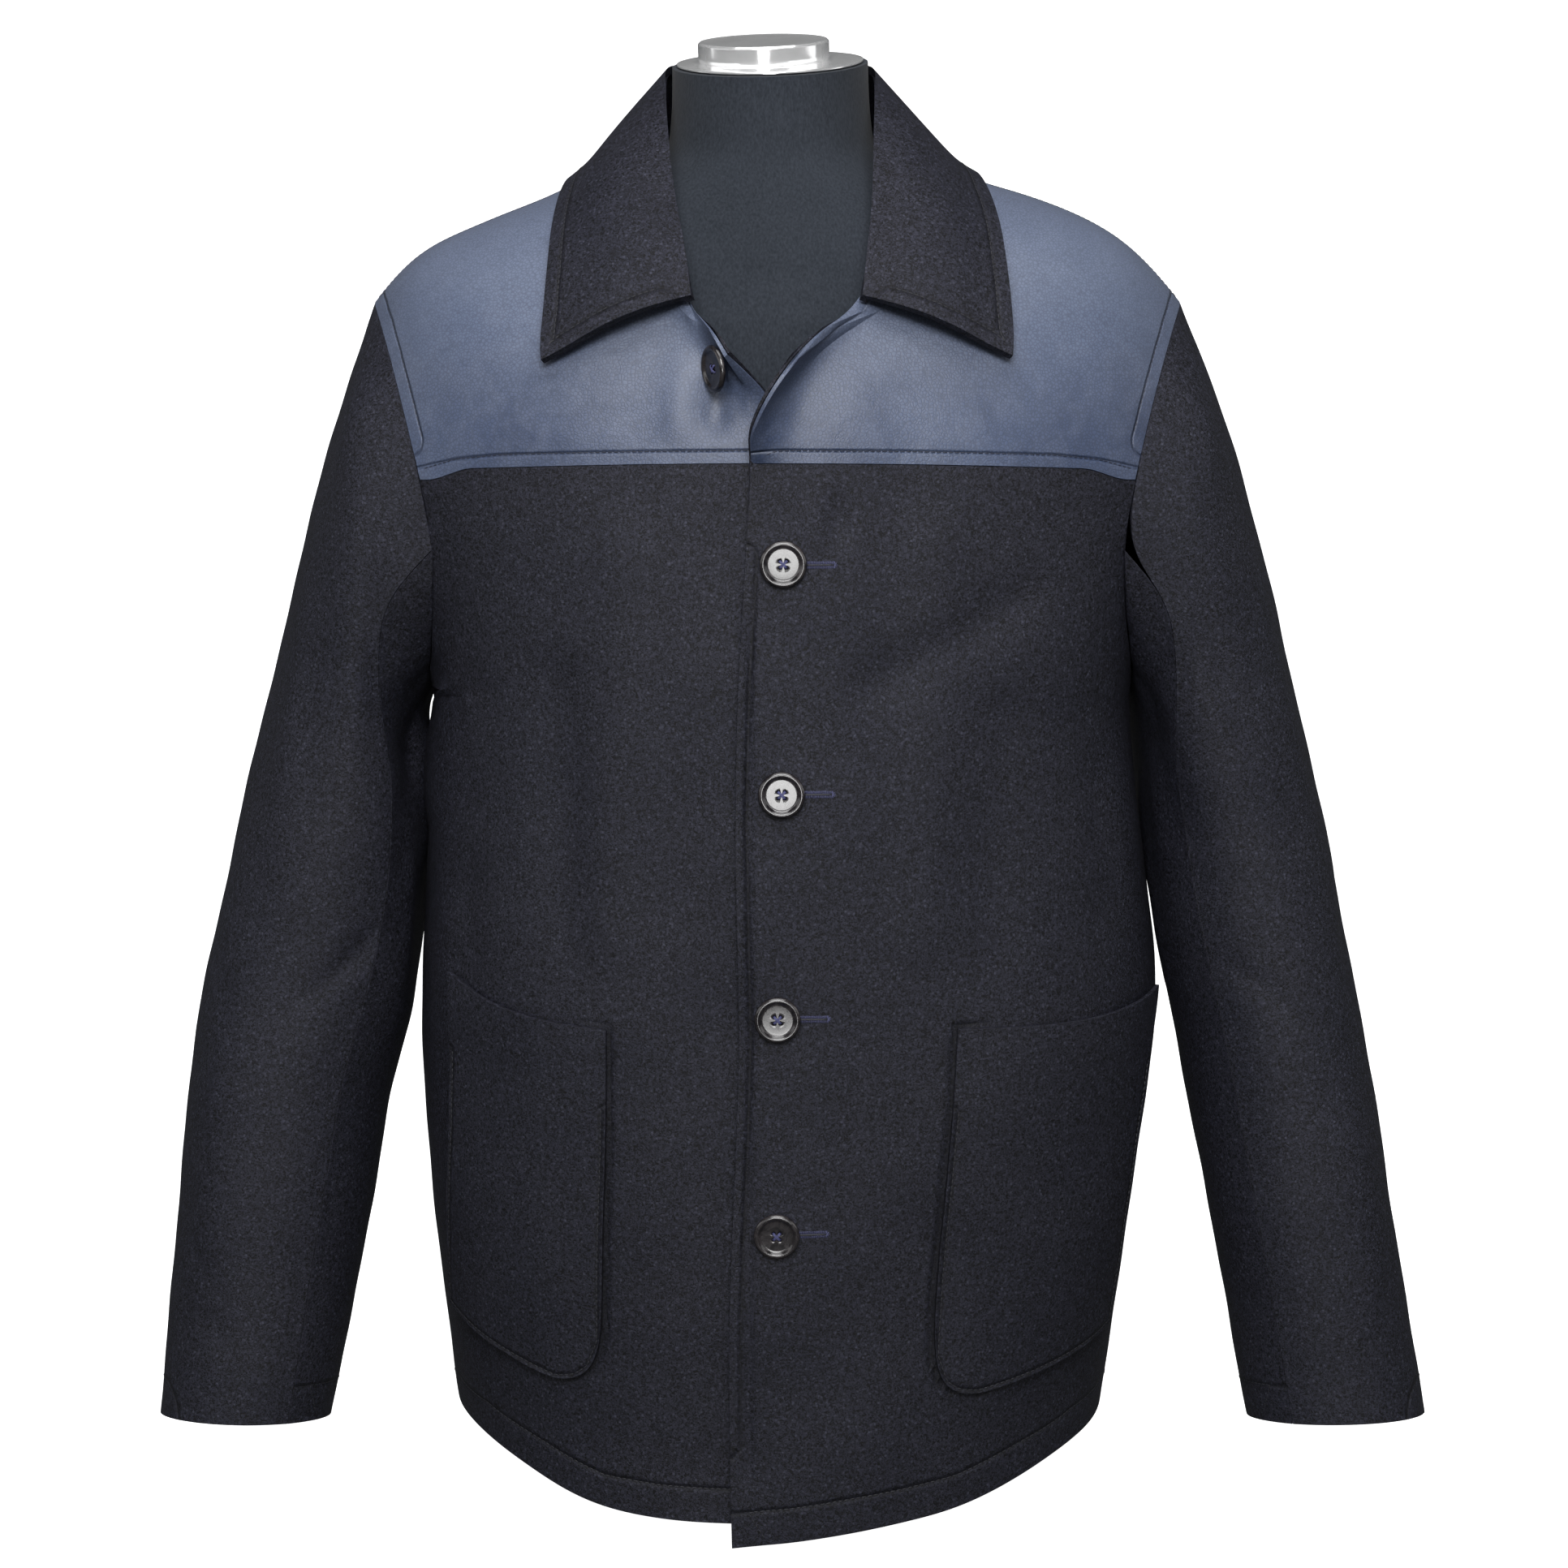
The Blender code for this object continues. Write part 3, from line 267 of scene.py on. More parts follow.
grooveGroup, grooveIn, grooveOut = newGroup(
    "sewnGroove",
    [("Distance", "NodeSocketFloat", None), ("Half Width", "NodeSocketFloat", 0.001)],
    [("Groove", "NodeSocketFloat")],
)
share = mathNode(grooveGroup, "DIVIDE", grooveIn.outputs["Distance"])
grooveGroup.links.new(grooveIn.outputs["Half Width"], share.node.inputs[1])
squared = mathNode(grooveGroup, "MULTIPLY", share, -1.0)
grooveGroup.links.new(share, squared.node.inputs[0])
product = mathNode(grooveGroup, "MULTIPLY", share)
grooveGroup.links.new(squared, product.node.inputs[1])
groove = mathNode(grooveGroup, "EXPONENT", product)  # falls away from 1 at the seam, as a bell
grooveGroup.links.new(groove, grooveOut.inputs["Groove"])


def sewnGroove(tree, color, look):
    distance = tree.nodes.new("ShaderNodeAttribute")
    distance.attribute_name = "stitchLine"
    sewn = tree.nodes.new("ShaderNodeGroup")
    sewn.node_tree = grooveGroup
    sewn.inputs["Half Width"].default_value = look["grooveWidth"]
    tree.links.new(distance.outputs["Fac"], sewn.inputs["Distance"])
    # painted shade: the colour darkens along each seam, pressed crease and pocket edge, where the groove falls
    # into shadow
    shadow = mathNode(tree, "MULTIPLY", sewn.outputs["Groove"], look["grooveShade"])
    darker = mixColors(tree, shadow, color, (*look["grooveShadeColor"], 1.0))
    dip = addNode(tree, "ShaderNodeBump", Strength=look["grooveDepth"], Distance=0.0012)
    dip.invert = True
    tree.links.new(sewn.outputs["Groove"], dip.inputs["Height"])
    return darker, dip.outputs["Normal"]


def meltonMaterial(name, look):
    material, tree, shader, place = newMaterial(name)
    nap = tree.nodes.new("ShaderNodeGroup")
    nap.node_tree = napGroup
    nap.inputs["Fibre Scale"].default_value = look["fibreScale"]
    nap.inputs["Cloud Scale"].default_value = look["cloudScale"]
    tree.links.new(place.outputs["Object"], nap.inputs["Vector"])
    shade = rampNode(tree, nap.outputs["Shade"], ((0.41, 0.0), (0.62, 1.0)))
    body = mixColors(tree, shade, (*look["dark"], 1.0), (*look["light"], 1.0))
    cloud = rampNode(tree, nap.outputs["Cloud"], ((0.35, 0.0), (0.68, 1.0)))
    clouded = mixColors(tree, cloud, body, (*look["cloud"], 1.0), "MULTIPLY")
    fleck = mathNode(tree, "MULTIPLY", nap.outputs["Fleck"], look["fleckShare"])
    flecked = mixColors(tree, fleck, clouded, (*look["fleck"], 1.0))
    shadedColor, sewnNormal = sewnGroove(tree, flecked, look)
    tree.links.new(shadedColor, shader.inputs["Base Color"])
    napNormal = bumpNode(tree, nap.outputs["Height"], look["bump"], 0.0006, sewnNormal)
    tree.links.new(napNormal, shader.inputs["Normal"])
    shader.inputs["Roughness"].default_value = look["roughness"]
    shader.inputs["Specular IOR Level"].default_value = look["specular"]
    return material


meltonLook = {
    "fibreScale": 680.0, "cloudScale": 13.0,
    "dark": (0.0010, 0.0010, 0.0018), "light": (0.0280, 0.0287, 0.0440), "cloud": (0.80, 0.82, 0.88),
    "fleck": (0.085, 0.090, 0.130), "fleckShare": 0.55,
    "bump": 0.85, "roughness": 0.62, "specular": 0.19,
    "grooveWidth": 0.0014, "grooveShade": 0.50, "grooveShadeColor": (0.003, 0.003, 0.004), "grooveDepth": 0.75,
}
melton = meltonMaterial("navyMelton", meltonLook)
facingMelton = meltonMaterial("facingMelton", {**meltonLook, "cloudScale": 19.0})

leatherLook = {
    "grainScale": 520.0, "wrinkleScale": 62.0, "cloudScale": 9.0,
    "dark": (0.020, 0.033, 0.078), "light": (0.056, 0.079, 0.146),
    "worn": (0.150, 0.176, 0.255), "wornShare": 0.28,
    # painted sheen: the leather turns lighter towards the shoulder tops, as if the overhead lamp caught it
    "shoulder": (0.165, 0.194, 0.272), "shoulderShare": 0.62, "shoulderRise": (0.625, 0.715),
    "roughness": (0.38, 0.54), "bump": 0.20, "wrinkle": 0.30,
    "grooveWidth": 0.0008, "grooveShade": 0.22, "grooveShadeColor": (0.012, 0.015, 0.026), "grooveDepth": 0.7,
}


def leatherMaterial(name, look):
    material, tree, shader, place = newMaterial(name)
    pores = addNode(tree, "ShaderNodeTexVoronoi", Scale=look["grainScale"], Randomness=0.9)
    pores.feature = "DISTANCE_TO_EDGE"
    tree.links.new(place.outputs["Object"], pores.inputs["Vector"])
    grain = rampNode(tree, pores.outputs["Distance"], ((0.0, 0.0), (0.22, 1.0)))
    wrinkles = objectNoise(tree, place, Scale=look["wrinkleScale"], Detail=6.0, Roughness=0.6, Distortion=0.6)
    cloud = objectNoise(tree, place, Scale=look["cloudScale"], Detail=4.0, Roughness=0.55)
    cloudMask = rampNode(tree, cloud, ((0.32, 0.0), (0.70, 1.0)))
    base = mixColors(tree, cloudMask, (*look["dark"], 1.0), (*look["light"], 1.0))
    fine = rampNode(tree, wrinkles, ((0.45, 0.0), (0.72, 1.0)))
    fineShare = mathNode(tree, "MULTIPLY", fine, look["wornShare"])
    worn = mixColors(tree, fineShare, base, (*look["worn"], 1.0))
    poreShare = mathNode(tree, "MULTIPLY_ADD", grain, 0.35)
    poreShare.node.inputs[2].default_value = 0.65
    height = tree.nodes.new("ShaderNodeSeparateXYZ")
    tree.links.new(place.outputs["Object"], height.inputs["Vector"])
    # painted sheen: a lighter colour mixed in by height, rising to the shoulder tops
    rise = tree.nodes.new("ShaderNodeMapRange")
    rise.inputs["From Min"].default_value, rise.inputs["From Max"].default_value = look["shoulderRise"]
    rise.inputs["To Max"].default_value = look["shoulderShare"]
    tree.links.new(height.outputs["Z"], rise.inputs["Value"])
    paintedSheen = mixColors(tree, rise.outputs["Result"], worn, (*look["shoulder"], 1.0))
    pored = mixColors(tree, 1.0, paintedSheen, poreShare, "MULTIPLY")
    shadedColor, sewnNormal = sewnGroove(tree, pored, look)
    tree.links.new(shadedColor, shader.inputs["Base Color"])
    roughBetween(tree, shader, wrinkles, look["roughness"])
    creased = bumpNode(tree, wrinkles, look["wrinkle"], 0.0012, sewnNormal)
    grained = bumpNode(tree, grain, look["bump"], 0.0003, creased)
    tree.links.new(grained, shader.inputs["Normal"])
    shader.inputs["Specular IOR Level"].default_value = 0.45
    return material


leather = leatherMaterial("navyLeather", leatherLook)

jerseyLook = {"dark": (0.009, 0.012, 0.017), "light": (0.025, 0.030, 0.040), "stitchScale": 800.0}


def jerseyMaterial(name, look):
    material, tree, shader, place = newMaterial(name)
    stretch = tree.nodes.new("ShaderNodeMapping")
    stretch.inputs["Scale"].default_value = (1.0, 1.0, 0.45)
    tree.links.new(place.outputs["Object"], stretch.inputs["Vector"])
    wales = addNode(tree, "ShaderNodeTexNoise", Scale=look["stitchScale"], Detail=2.0, Roughness=0.6)
    tree.links.new(stretch.outputs["Vector"], wales.inputs["Vector"])
    cloud = objectNoise(tree, place, Scale=16.0, Detail=3.0, Roughness=0.5)
    mixed = mathNode(tree, "MULTIPLY_ADD", cloud, 0.4)
    tree.links.new(wales.outputs["Fac"], mixed.node.inputs[2])
    shade = rampNode(tree, mixed, ((0.40, 0.0), (0.95, 1.0)))
    body = mixColors(tree, shade, (*look["dark"], 1.0), (*look["light"], 1.0))
    tree.links.new(body, shader.inputs["Base Color"])
    tree.links.new(bumpNode(tree, wales.outputs["Fac"], 0.25, 0.0004), shader.inputs["Normal"])
    shader.inputs["Roughness"].default_value = 0.9
    shader.inputs["Specular IOR Level"].default_value = 0.2
    shader.inputs["Sheen Weight"].default_value = 0.06
    return material


jersey = jerseyMaterial("slateJersey", jerseyLook)

hornLook = {"dark": (0.006, 0.005, 0.006), "light": (0.040, 0.034, 0.036), "roughness": (0.14, 0.26)}


def hornMaterial(name, look):
    material, tree, shader, place = newMaterial(name)
    swirl = objectNoise(tree, place, Scale=95.0, Detail=4.0, Roughness=0.6, Distortion=2.2)
    shade = rampNode(tree, swirl, ((0.38, 0.0), (0.75, 1.0)))
    body = mixColors(tree, shade, (*look["dark"], 1.0), (*look["light"], 1.0))
    tree.links.new(body, shader.inputs["Base Color"])
    roughBetween(tree, shader, swirl, look["roughness"])
    shader.inputs["Specular IOR Level"].default_value = 0.62
    return material


horn = hornMaterial("darkHorn", hornLook)


def threadMaterial(name, dark, light):
    material, tree, shader, place = newMaterial(name)
    twist = objectNoise(tree, place, Scale=1600.0, Detail=2.0)
    shade = rampNode(tree, twist, ((0.35, 0.0), (0.65, 1.0)))
    body = mixColors(tree, shade, (*dark, 1.0), (*light, 1.0))
    tree.links.new(body, shader.inputs["Base Color"])
    tree.links.new(bumpNode(tree, twist, 0.3, 0.0002), shader.inputs["Normal"])
    shader.inputs["Roughness"].default_value = 0.6
    return material


blackThread = threadMaterial("blackThread", (0.005, 0.005, 0.008), (0.014, 0.015, 0.022))
navyThread = threadMaterial("navyThread", (0.006, 0.008, 0.018), (0.018, 0.022, 0.042))
violetThread = threadMaterial("violetThread", (0.030, 0.032, 0.105), (0.075, 0.080, 0.210))
purlThread = threadMaterial("purlThread", (0.020, 0.022, 0.062), (0.060, 0.064, 0.160))

chromeLook = {"roughness": (0.08, 0.18), "shades": ((0.2, 0.80), (0.8, 0.95)), "metallic": 0.72}
chrome, chromeTree, chromeShader, chromePlace = newMaterial("polishedChrome")
smears = objectNoise(chromeTree, chromePlace, Scale=60.0, Detail=4.0)
roughBetween(chromeTree, chromeShader, smears, chromeLook["roughness"])
chromeTree.links.new(rampNode(chromeTree, smears, chromeLook["shades"]), chromeShader.inputs["Base Color"])
chromeShader.inputs["Metallic"].default_value = chromeLook["metallic"]
print("materials made")


# soft folds and unevenness: one field for all layers, so that they stay clear of each other

bodyFolds = {
    # part of the body (-1 front, 1 back, 0 side), path of (x, z), half width, depth: above 0 a ridge
    "frontBreakLeft": (-1, ((0.084, 0.590), (0.083, 0.450), (0.078, 0.330)), 0.017, 0.0018),
    "frontBreakRight": (-1, ((-0.080, 0.590), (-0.084, 0.470), (-0.099, 0.330)), 0.017, 0.0018),
    "bandRight": (-1, ((-0.122, 0.520), (-0.116, 0.420), (-0.112, 0.330)), 0.015, -0.0020),
    "bandLeft": (-1, ((0.128, 0.500), (0.120, 0.400), (0.122, 0.320)), 0.017, -0.0018),
    "drapeLeft": (-1, ((0.160, 0.552), (0.095, 0.515), (0.030, 0.478)), 0.013, -0.0020),
    "drapeLow": (-1, ((-0.030, 0.440), (-0.020, 0.380), (-0.022, 0.300)), 0.012, 0.0010),
    "dipUnderLeather": (-1, ((0.033, 0.592), (0.037, 0.560)), 0.007, -0.0022),
    "bumpUnderLeather": (-1, ((0.018, 0.588), (0.024, 0.555)), 0.006, 0.0010),
    "edgeCrease": (-1, ((-0.0135, 0.545), (-0.0140, 0.300), (-0.0150, 0.035)), 0.0028, -0.0014),
    "sideRight": (-1, ((-0.168, 0.400), (-0.172, 0.360), (-0.176, 0.300)), 0.010, -0.0016),
    "sideFullRight": (0, ((-0.192, 0.530), (-0.196, 0.460), (-0.198, 0.390)), 0.016, 0.0036),
    "sideLeft": (-1, ((0.178, 0.460), (0.184, 0.400), (0.190, 0.340)), 0.010, -0.0016),
    "backMiddle": (1, ((0.012, 0.590), (0.004, 0.400), (0.010, 0.120)), 0.020, -0.0024),
    "backRidgeLeft": (1, ((0.082, 0.585), (0.062, 0.380), (0.072, 0.090)), 0.020, 0.0026),
    "backRidgeRight": (1, ((-0.074, 0.580), (-0.066, 0.330), (-0.058, 0.110)), 0.018, 0.0022),
    "backSwagLeft": (1, ((0.165, 0.510), (0.120, 0.420), (0.110, 0.200)), 0.015, -0.0028),
    "backSwagRight": (1, ((-0.160, 0.520), (-0.128, 0.400), (-0.120, 0.240)), 0.016, -0.0026),
    "leatherTrough": (-1, ((-0.020, 0.682), (-0.030, 0.650), (-0.034, 0.612)), 0.008, -0.0024),
    "leatherRidge": (-1, ((-0.045, 0.680), (-0.052, 0.640), (-0.054, 0.606)), 0.009, 0.0012),
}
foldSpread = {
    "bodyDepth": 1.3,      # factor on the depths of the body's folds
    "bodyTaper": 0.028,    # length over which a body fold fades at its ends
    "frontOrBack": 0.03,   # depth from the middle over which a front or back fold grows
    "sideDepth": 0.06,     # half depth of a fold down the side
    "sleeveTaper": 0.02,
    "sleeveWave": 0.8,     # share of the wave height on a sleeve
}
bodyHalf = (0.2, 0.15)     # half width and half depth of the body, for the way outward
sleeveFolds = {
    # sleeve, turn at its start and end in degrees (0 outer, 90 front, 180 inner), start and end along
    # the sleeve as shares, half width, depth
    "leftFrontBand": (1, 62, 58, 0.06, 0.42, 0.013, 0.0022),
    "leftFrontTrough": (1, 96, 84, 0.05, 0.32, 0.010, -0.0028),
    "leftInnerRidge": (1, 120, 112, 0.08, 0.30, 0.009, 0.0014),
    "leftFrontFall": (1, 134, 128, 0.03, 0.40, 0.018, -0.0055),
    "leftInnerFull": (1, 180, 176, 0.30, 0.56, 0.016, 0.0046),
    "leftElbowOuter": (1, 20, 52, 0.44, 0.56, 0.010, -0.0014),
    "leftElbowInner": (1, 118, 84, 0.50, 0.60, 0.009, -0.0018),
    "leftForeBand": (1, 70, 64, 0.58, 0.92, 0.014, 0.0014),
    "leftCuffRipple": (1, 40, 66, 0.84, 0.90, 0.006, -0.0010),
    "leftBackTrough": (1, 262, 280, 0.05, 0.36, 0.012, -0.0028),
    "leftBackElbow": (1, 300, 250, 0.46, 0.58, 0.010, -0.0024),
    "leftBackElbowLow": (1, 240, 292, 0.55, 0.66, 0.009, -0.0016),
    "rightFrontBand": (-1, 58, 66, 0.06, 0.46, 0.013, 0.0022),
    "rightFrontTrough": (-1, 88, 104, 0.04, 0.34, 0.011, -0.0034),
    "rightInnerRidge": (-1, 112, 124, 0.07, 0.28, 0.009, 0.0018),
    "rightInnerFull": (-1, 180, 174, 0.14, 0.42, 0.018, 0.0084),
    "rightFrontFall": (-1, 132, 128, 0.03, 0.44, 0.018, -0.0060),
    "rightElbowInner": (-1, 122, 90, 0.46, 0.57, 0.009, -0.0020),
    "rightElbowOuter": (-1, 30, 62, 0.52, 0.62, 0.010, -0.0012),
    "rightForeBand": (-1, 56, 60, 0.56, 0.90, 0.015, 0.0014),
    "rightCuffRipple": (-1, 36, 74, 0.80, 0.88, 0.007, -0.0012),
    "rightCuffRippleLow": (-1, 50, 84, 0.87, 0.93, 0.006, -0.0009),
    "rightBackTrough": (-1, 266, 254, 0.05, 0.38, 0.012, -0.0028),
    "rightBackElbow": (-1, 246, 300, 0.47, 0.58, 0.010, -0.0026),
    "rightBackElbowLow": (-1, 296, 244, 0.58, 0.68, 0.009, -0.0018),
}
sleeveLines = {
    # middle of each sleeve from the armhole to the cuff
    1: ((0.222, 0.0, 0.610), (0.2375, 0.003, 0.542), (0.2535, 0.005, 0.480), (0.2725, 0.002, 0.399),
        (0.2925, -0.008, 0.3135), (0.3105, -0.024, 0.210), (0.326, -0.043, 0.0975), (0.3335, -0.051, 0.050)),
    -1: ((-0.216, 0.0, 0.610), (-0.2285, 0.003, 0.542), (-0.2375, 0.005, 0.480), (-0.2475, 0.002, 0.399),
         (-0.265, -0.008, 0.3135), (-0.287, -0.024, 0.210), (-0.3035, -0.043, 0.0975), (-0.310, -0.051, 0.050)),
}
unevenness = {
    # direction of each wave, its length and its height in metres
    "waves": (((0.8, 0.2, 0.5), 0.150, 0.00050), ((0.3, 0.7, -0.6), 0.110, 0.00040),
              ((-0.6, 0.3, 0.7), 0.083, 0.00030), ((0.9, -0.5, 0.1), 0.061, 0.00022),
              ((0.2, 0.4, 0.9), 0.047, 0.00014)),
    "stillAbove": (0.690, 0.745),        # the waves fade between these heights
    "seamReach": (0.004, 0.036),         # nothing moves nearer to an armhole than the first
    "yokeSeam": (0.600, 0.024, 0.0100),  # height, half reach and lift of the front yoke seam
}
bodyNodes = ("back", "back_yoke", "left_front", "right_front", "left_front_yoke", "right_front_yoke")
sleeveNodes = {1: ("left_upper_sleeve", "left_under_sleeve"), -1: ("right_upper_sleeve", "right_under_sleeve")}


def worldPoints(nodeName):
    node = nodes[nodeName]
    return [node.matrix_world @ vertex.co for vertex in node.data.vertices]


def pointTree(points):
    tree = kdtree.KDTree(len(points))
    for index, point in enumerate(points):
        tree.insert(point, index)
    tree.balance()
    return tree


bodyTree = pointTree([point for name in bodyNodes for point in worldPoints(name)])
seamPoints = {}
for side, names in sleeveNodes.items():
    seamPoints[side] = [p for name in names for p in worldPoints(name) if bodyTree.find(p)[2] < 0.0009]
armholeTree = pointTree(seamPoints[1] + seamPoints[-1])
print("armhole seam points:", len(seamPoints[1]), len(seamPoints[-1]))


def softStep(low, high, values):
    share = np.clip((np.asarray(values, float) - low) / (high - low), 0.0, 1.0)
    return share * share * (3.0 - 2.0 * share)


def onPath(points, path):
    path = np.asarray(path, float)
    steps = np.diff(path, axis=0)
    lengths = np.linalg.norm(steps, axis=1)
    starts = np.concatenate(([0.0], np.cumsum(lengths)[:-1]))
    best = np.full(len(points), np.inf)
    along = np.zeros(len(points))
    nearest = np.zeros_like(points)
    heading = np.zeros_like(points)
    for start, step, length, run in zip(path[:-1], steps, lengths, starts):
        share = np.clip(((points - start) @ step) / length ** 2, 0.0, 1.0)
        foot = start + share[:, None] * step
        distance = np.linalg.norm(points - foot, axis=1)
        closer = distance < best
        best[closer] = distance[closer]
        along[closer] = run + share[closer] * length
        nearest[closer] = foot[closer]
        heading[closer] = step / length
    return best, along, lengths.sum(), nearest, heading


def waveHeight(points):
    total = np.zeros(len(points))
    for index, (direction, length, height) in enumerate(unevenness["waves"]):
        total += height * np.sin(points @ np.array(direction) * 2.0 * math.pi / length + 1.7 * index)
    return total


def seamFade(points):
    reach = np.array([armholeTree.find(point)[2] for point in points])
    return softStep(*unevenness["seamReach"], reach)


def bodyShift(points):
    outward = points / np.array([*bodyHalf, 1.0]) ** 2
    outward[:, 2] = 0.0
    outward /= np.maximum(np.linalg.norm(outward, axis=1), 1e-6)[:, None]
    amount = waveHeight(points) * (1.0 - softStep(*unevenness["stillAbove"], points[:, 2]))
    flat = points[:, (0, 2)]
    for side, path, width, depth in bodyFolds.values():
        distance, along, length, _, _ = onPath(flat, path)
        taper = min(foldSpread["bodyTaper"], 0.45 * length)
        ends = softStep(0.0, taper, along) * softStep(0.0, taper, length - along)
        near = np.exp(-(points[:, 1] / foldSpread["sideDepth"]) ** 2)
        if side:
            near = softStep(0.0, foldSpread["frontOrBack"], side * points[:, 1])
        amount += foldSpread["bodyDepth"] * depth * np.exp(-(distance / width) ** 2) * ends * near
    fade = seamFade(points)
    shift = outward * (amount * fade)[:, None]
    seamHeight, seamReach, seamLift = unevenness["yokeSeam"]
    lift = seamLift * np.exp(-((points[:, 2] - seamHeight) / seamReach) ** 2)
    lift *= softStep(0.0, foldSpread["frontOrBack"], -points[:, 1])
    shift[:, 2] += lift * (1.0 - 0.35 * (points[:, 0] / 0.17) ** 2) * fade  # least at the armholes
    return shift


def sleeveShift(points, side):
    _, along, length, nearest, heading = onPath(points, sleeveLines[side])
    radial = points - nearest
    radial -= heading * np.sum(radial * heading, axis=1)[:, None]
    radius = np.maximum(np.linalg.norm(radial, axis=1), 1e-6)
    turn = np.degrees(np.arctan2(-radial[:, 1], side * radial[:, 0])) % 360.0
    share = along / length
    amount = foldSpread["sleeveWave"] * waveHeight(points * np.array([1.0, 1.0, 1.3]))
    for arm, turnStart, turnEnd, start, end, width, depth in sleeveFolds.values():
        if arm != side:
            continue
        run = np.clip((share - start) / (end - start), 0.0, 1.0)
        apart = (turn - (turnStart + (turnEnd - turnStart) * run) + 180.0) % 360.0 - 180.0
        arc = np.radians(apart) * radius
        away = np.maximum(np.maximum(start - share, share - end), 0.0) * length
        ends = np.sin(np.pi * np.clip(run * 0.94 + 0.03, 0.0, 1.0)) ** 0.8
        amount += depth * np.exp(-(arc / width) ** 2) * ends * np.exp(-(away / foldSpread["sleeveTaper"]) ** 2)
    return radial / radius[:, None] * (amount * seamFade(points))[:, None]


def jacketShift(points, nodeName):
    points = np.asarray(points, float).reshape(-1, 3)
    if "sleeve" in nodeName:
        return sleeveShift(points, 1 if nodeName.startswith("left") else -1)
    return bodyShift(points)


# the rims of the cut pieces, which topstitching and its groove with painted shade follow

rimLook = {"angle": 50.0, "outward": 0.40, "mergeWithin": 0.00002, "spacing": 0.0015, "pocketShade": 0.0040}


def outwardAt(point, nodeName):
    if "sleeve" in nodeName:
        side = 1 if nodeName.startswith("left") else -1
        _, _, _, nearest, heading = onPath(np.array([tuple(point)]), sleeveLines[side])
        radial = point - Vector(nearest[0])
        return (radial - Vector(heading[0]) * radial.dot(Vector(heading[0]))).normalized()
    rise = 1.2 if "yoke" in nodeName or nodeName == "collar" else 6.0  # shoulders face up too
    return Vector((point.x / bodyHalf[0], point.y / bodyHalf[1], point.z / rise)).normalized()


def outerLines(nodeName):
    build = bmesh.new()
    build.from_mesh(nodes[nodeName].data)
    build.transform(nodes[nodeName].matrix_world)
    bmesh.ops.remove_doubles(build, verts=build.verts, dist=rimLook["mergeWithin"])
    build.normal_update()
    links, surface = {}, {}
    for edge in build.edges:
        if len(edge.link_faces) != 2 or edge.calc_face_angle(0.0) < math.radians(rimLook["angle"]):
            continue
        outward = outwardAt((edge.verts[0].co + edge.verts[1].co) / 2, nodeName)
        ranked = sorted(edge.link_faces, key=lambda face: face.normal.dot(outward))
        if ranked[1].normal.dot(outward) < rimLook["outward"]:
            continue
        for vert in edge.verts:
            links.setdefault(vert, []).append(edge)
            surface.setdefault(vert, ranked[1])
    unused = {edge for edges in links.values() for edge in edges}
    lines = []
    for first in sorted(unused, key=lambda edge: edge.index):
        if first not in unused:
            continue
        unused.discard(first)
        chain = [first.verts[0], first.verts[1]]
        for _ in range(2):
            while True:
                onward = [edge for edge in links[chain[-1]] if edge in unused]
                if not onward:
                    break
                unused.discard(onward[0])
                chain.append(onward[0].other_vert(chain[-1]))
            chain.reverse()
        closed = chain[0] == chain[-1]
        if closed:
            chain.pop()
        if len(chain) < 4:
            continue
        points = np.array([tuple(vert.co) for vert in chain])
        points += jacketShift(points, nodeName)
        line = []
        for index, vert in enumerate(chain):
            ahead = (index + 1) % len(points) if closed else min(index + 1, len(points) - 1)
            behind = index - 1 if closed else max(index - 1, 0)
            tangent = Vector(points[ahead] - points[behind]).normalized()
            face = surface[vert]
            inward = face.normal.cross(tangent).normalized()
            if inward.dot(face.calc_center_median() - vert.co) < 0.0:
                inward = -inward
            line.append((Vector(points[index]), inward))
        lines.append((line, closed))
    build.free()
    return lines


def rimRuns(line, closed, keep):
    flags = [keep(point) for point, _ in line]
    if closed and all(flags):
        return [line + line[:1]]
    start = flags.index(False) if closed else 0
    runs, run = [], []
    for entry in line[start:] + line[:start]:
        if keep(entry[0]):
            run.append(entry)
        elif run:
            runs.append(run)
            run = []
    if run:
        runs.append(run)
    return [run for run in runs if len(run) > 2]


def evenly(points, pitch):
    points = [Vector(point) for point in points]
    result, carried = [points[0]], 0.0
    for first, second in zip(points, points[1:]):
        length = (second - first).length
        if length < 1e-7:
            continue
        travelled = pitch - carried
        while travelled <= length:
            result.append(first.lerp(second, travelled / length))
            travelled += pitch
        carried = length - (travelled - pitch)
    return result


def surfaceTree(piece):
    return BVHTree.FromPolygons([vertex.co for vertex in piece.data.vertices],
                                [tuple(face.vertices) for face in piece.data.polygons])


stitchShape = {"sides": 6, "rings": ((-1.0, 0.25), (-0.72, 0.86), (0.0, 1.0), (0.72, 0.86), (1.0, 0.25))}


def joinRings(faces, base, rings, sides):
    for ring in range(rings - 1):
        for step in range(sides):
            after = (step + 1) % sides
            low, high = base + ring * sides, base + (ring + 1) * sides
            faces.append((low + step, low + after, high + after, high + step))
    faces.append(tuple(base + step for step in reversed(range(sides))))
    faces.append(tuple(base + (rings - 1) * sides + step for step in range(sides)))


def addStitch(verts, faces, place, heading, normal, length, radius):
    across = normal.cross(heading).normalized()
    rise = heading.cross(across).normalized()
    sides = stitchShape["sides"]
    base = len(verts)
    for run, girth in stitchShape["rings"]:
        for step in range(sides):
            turn = 2.0 * math.pi * step / sides
            outward = across * math.cos(turn) + rise * math.sin(turn)
            verts.append(place + heading * run * length / 2 + outward * radius * girth)
    joinRings(faces, base, len(stitchShape["rings"]), sides)


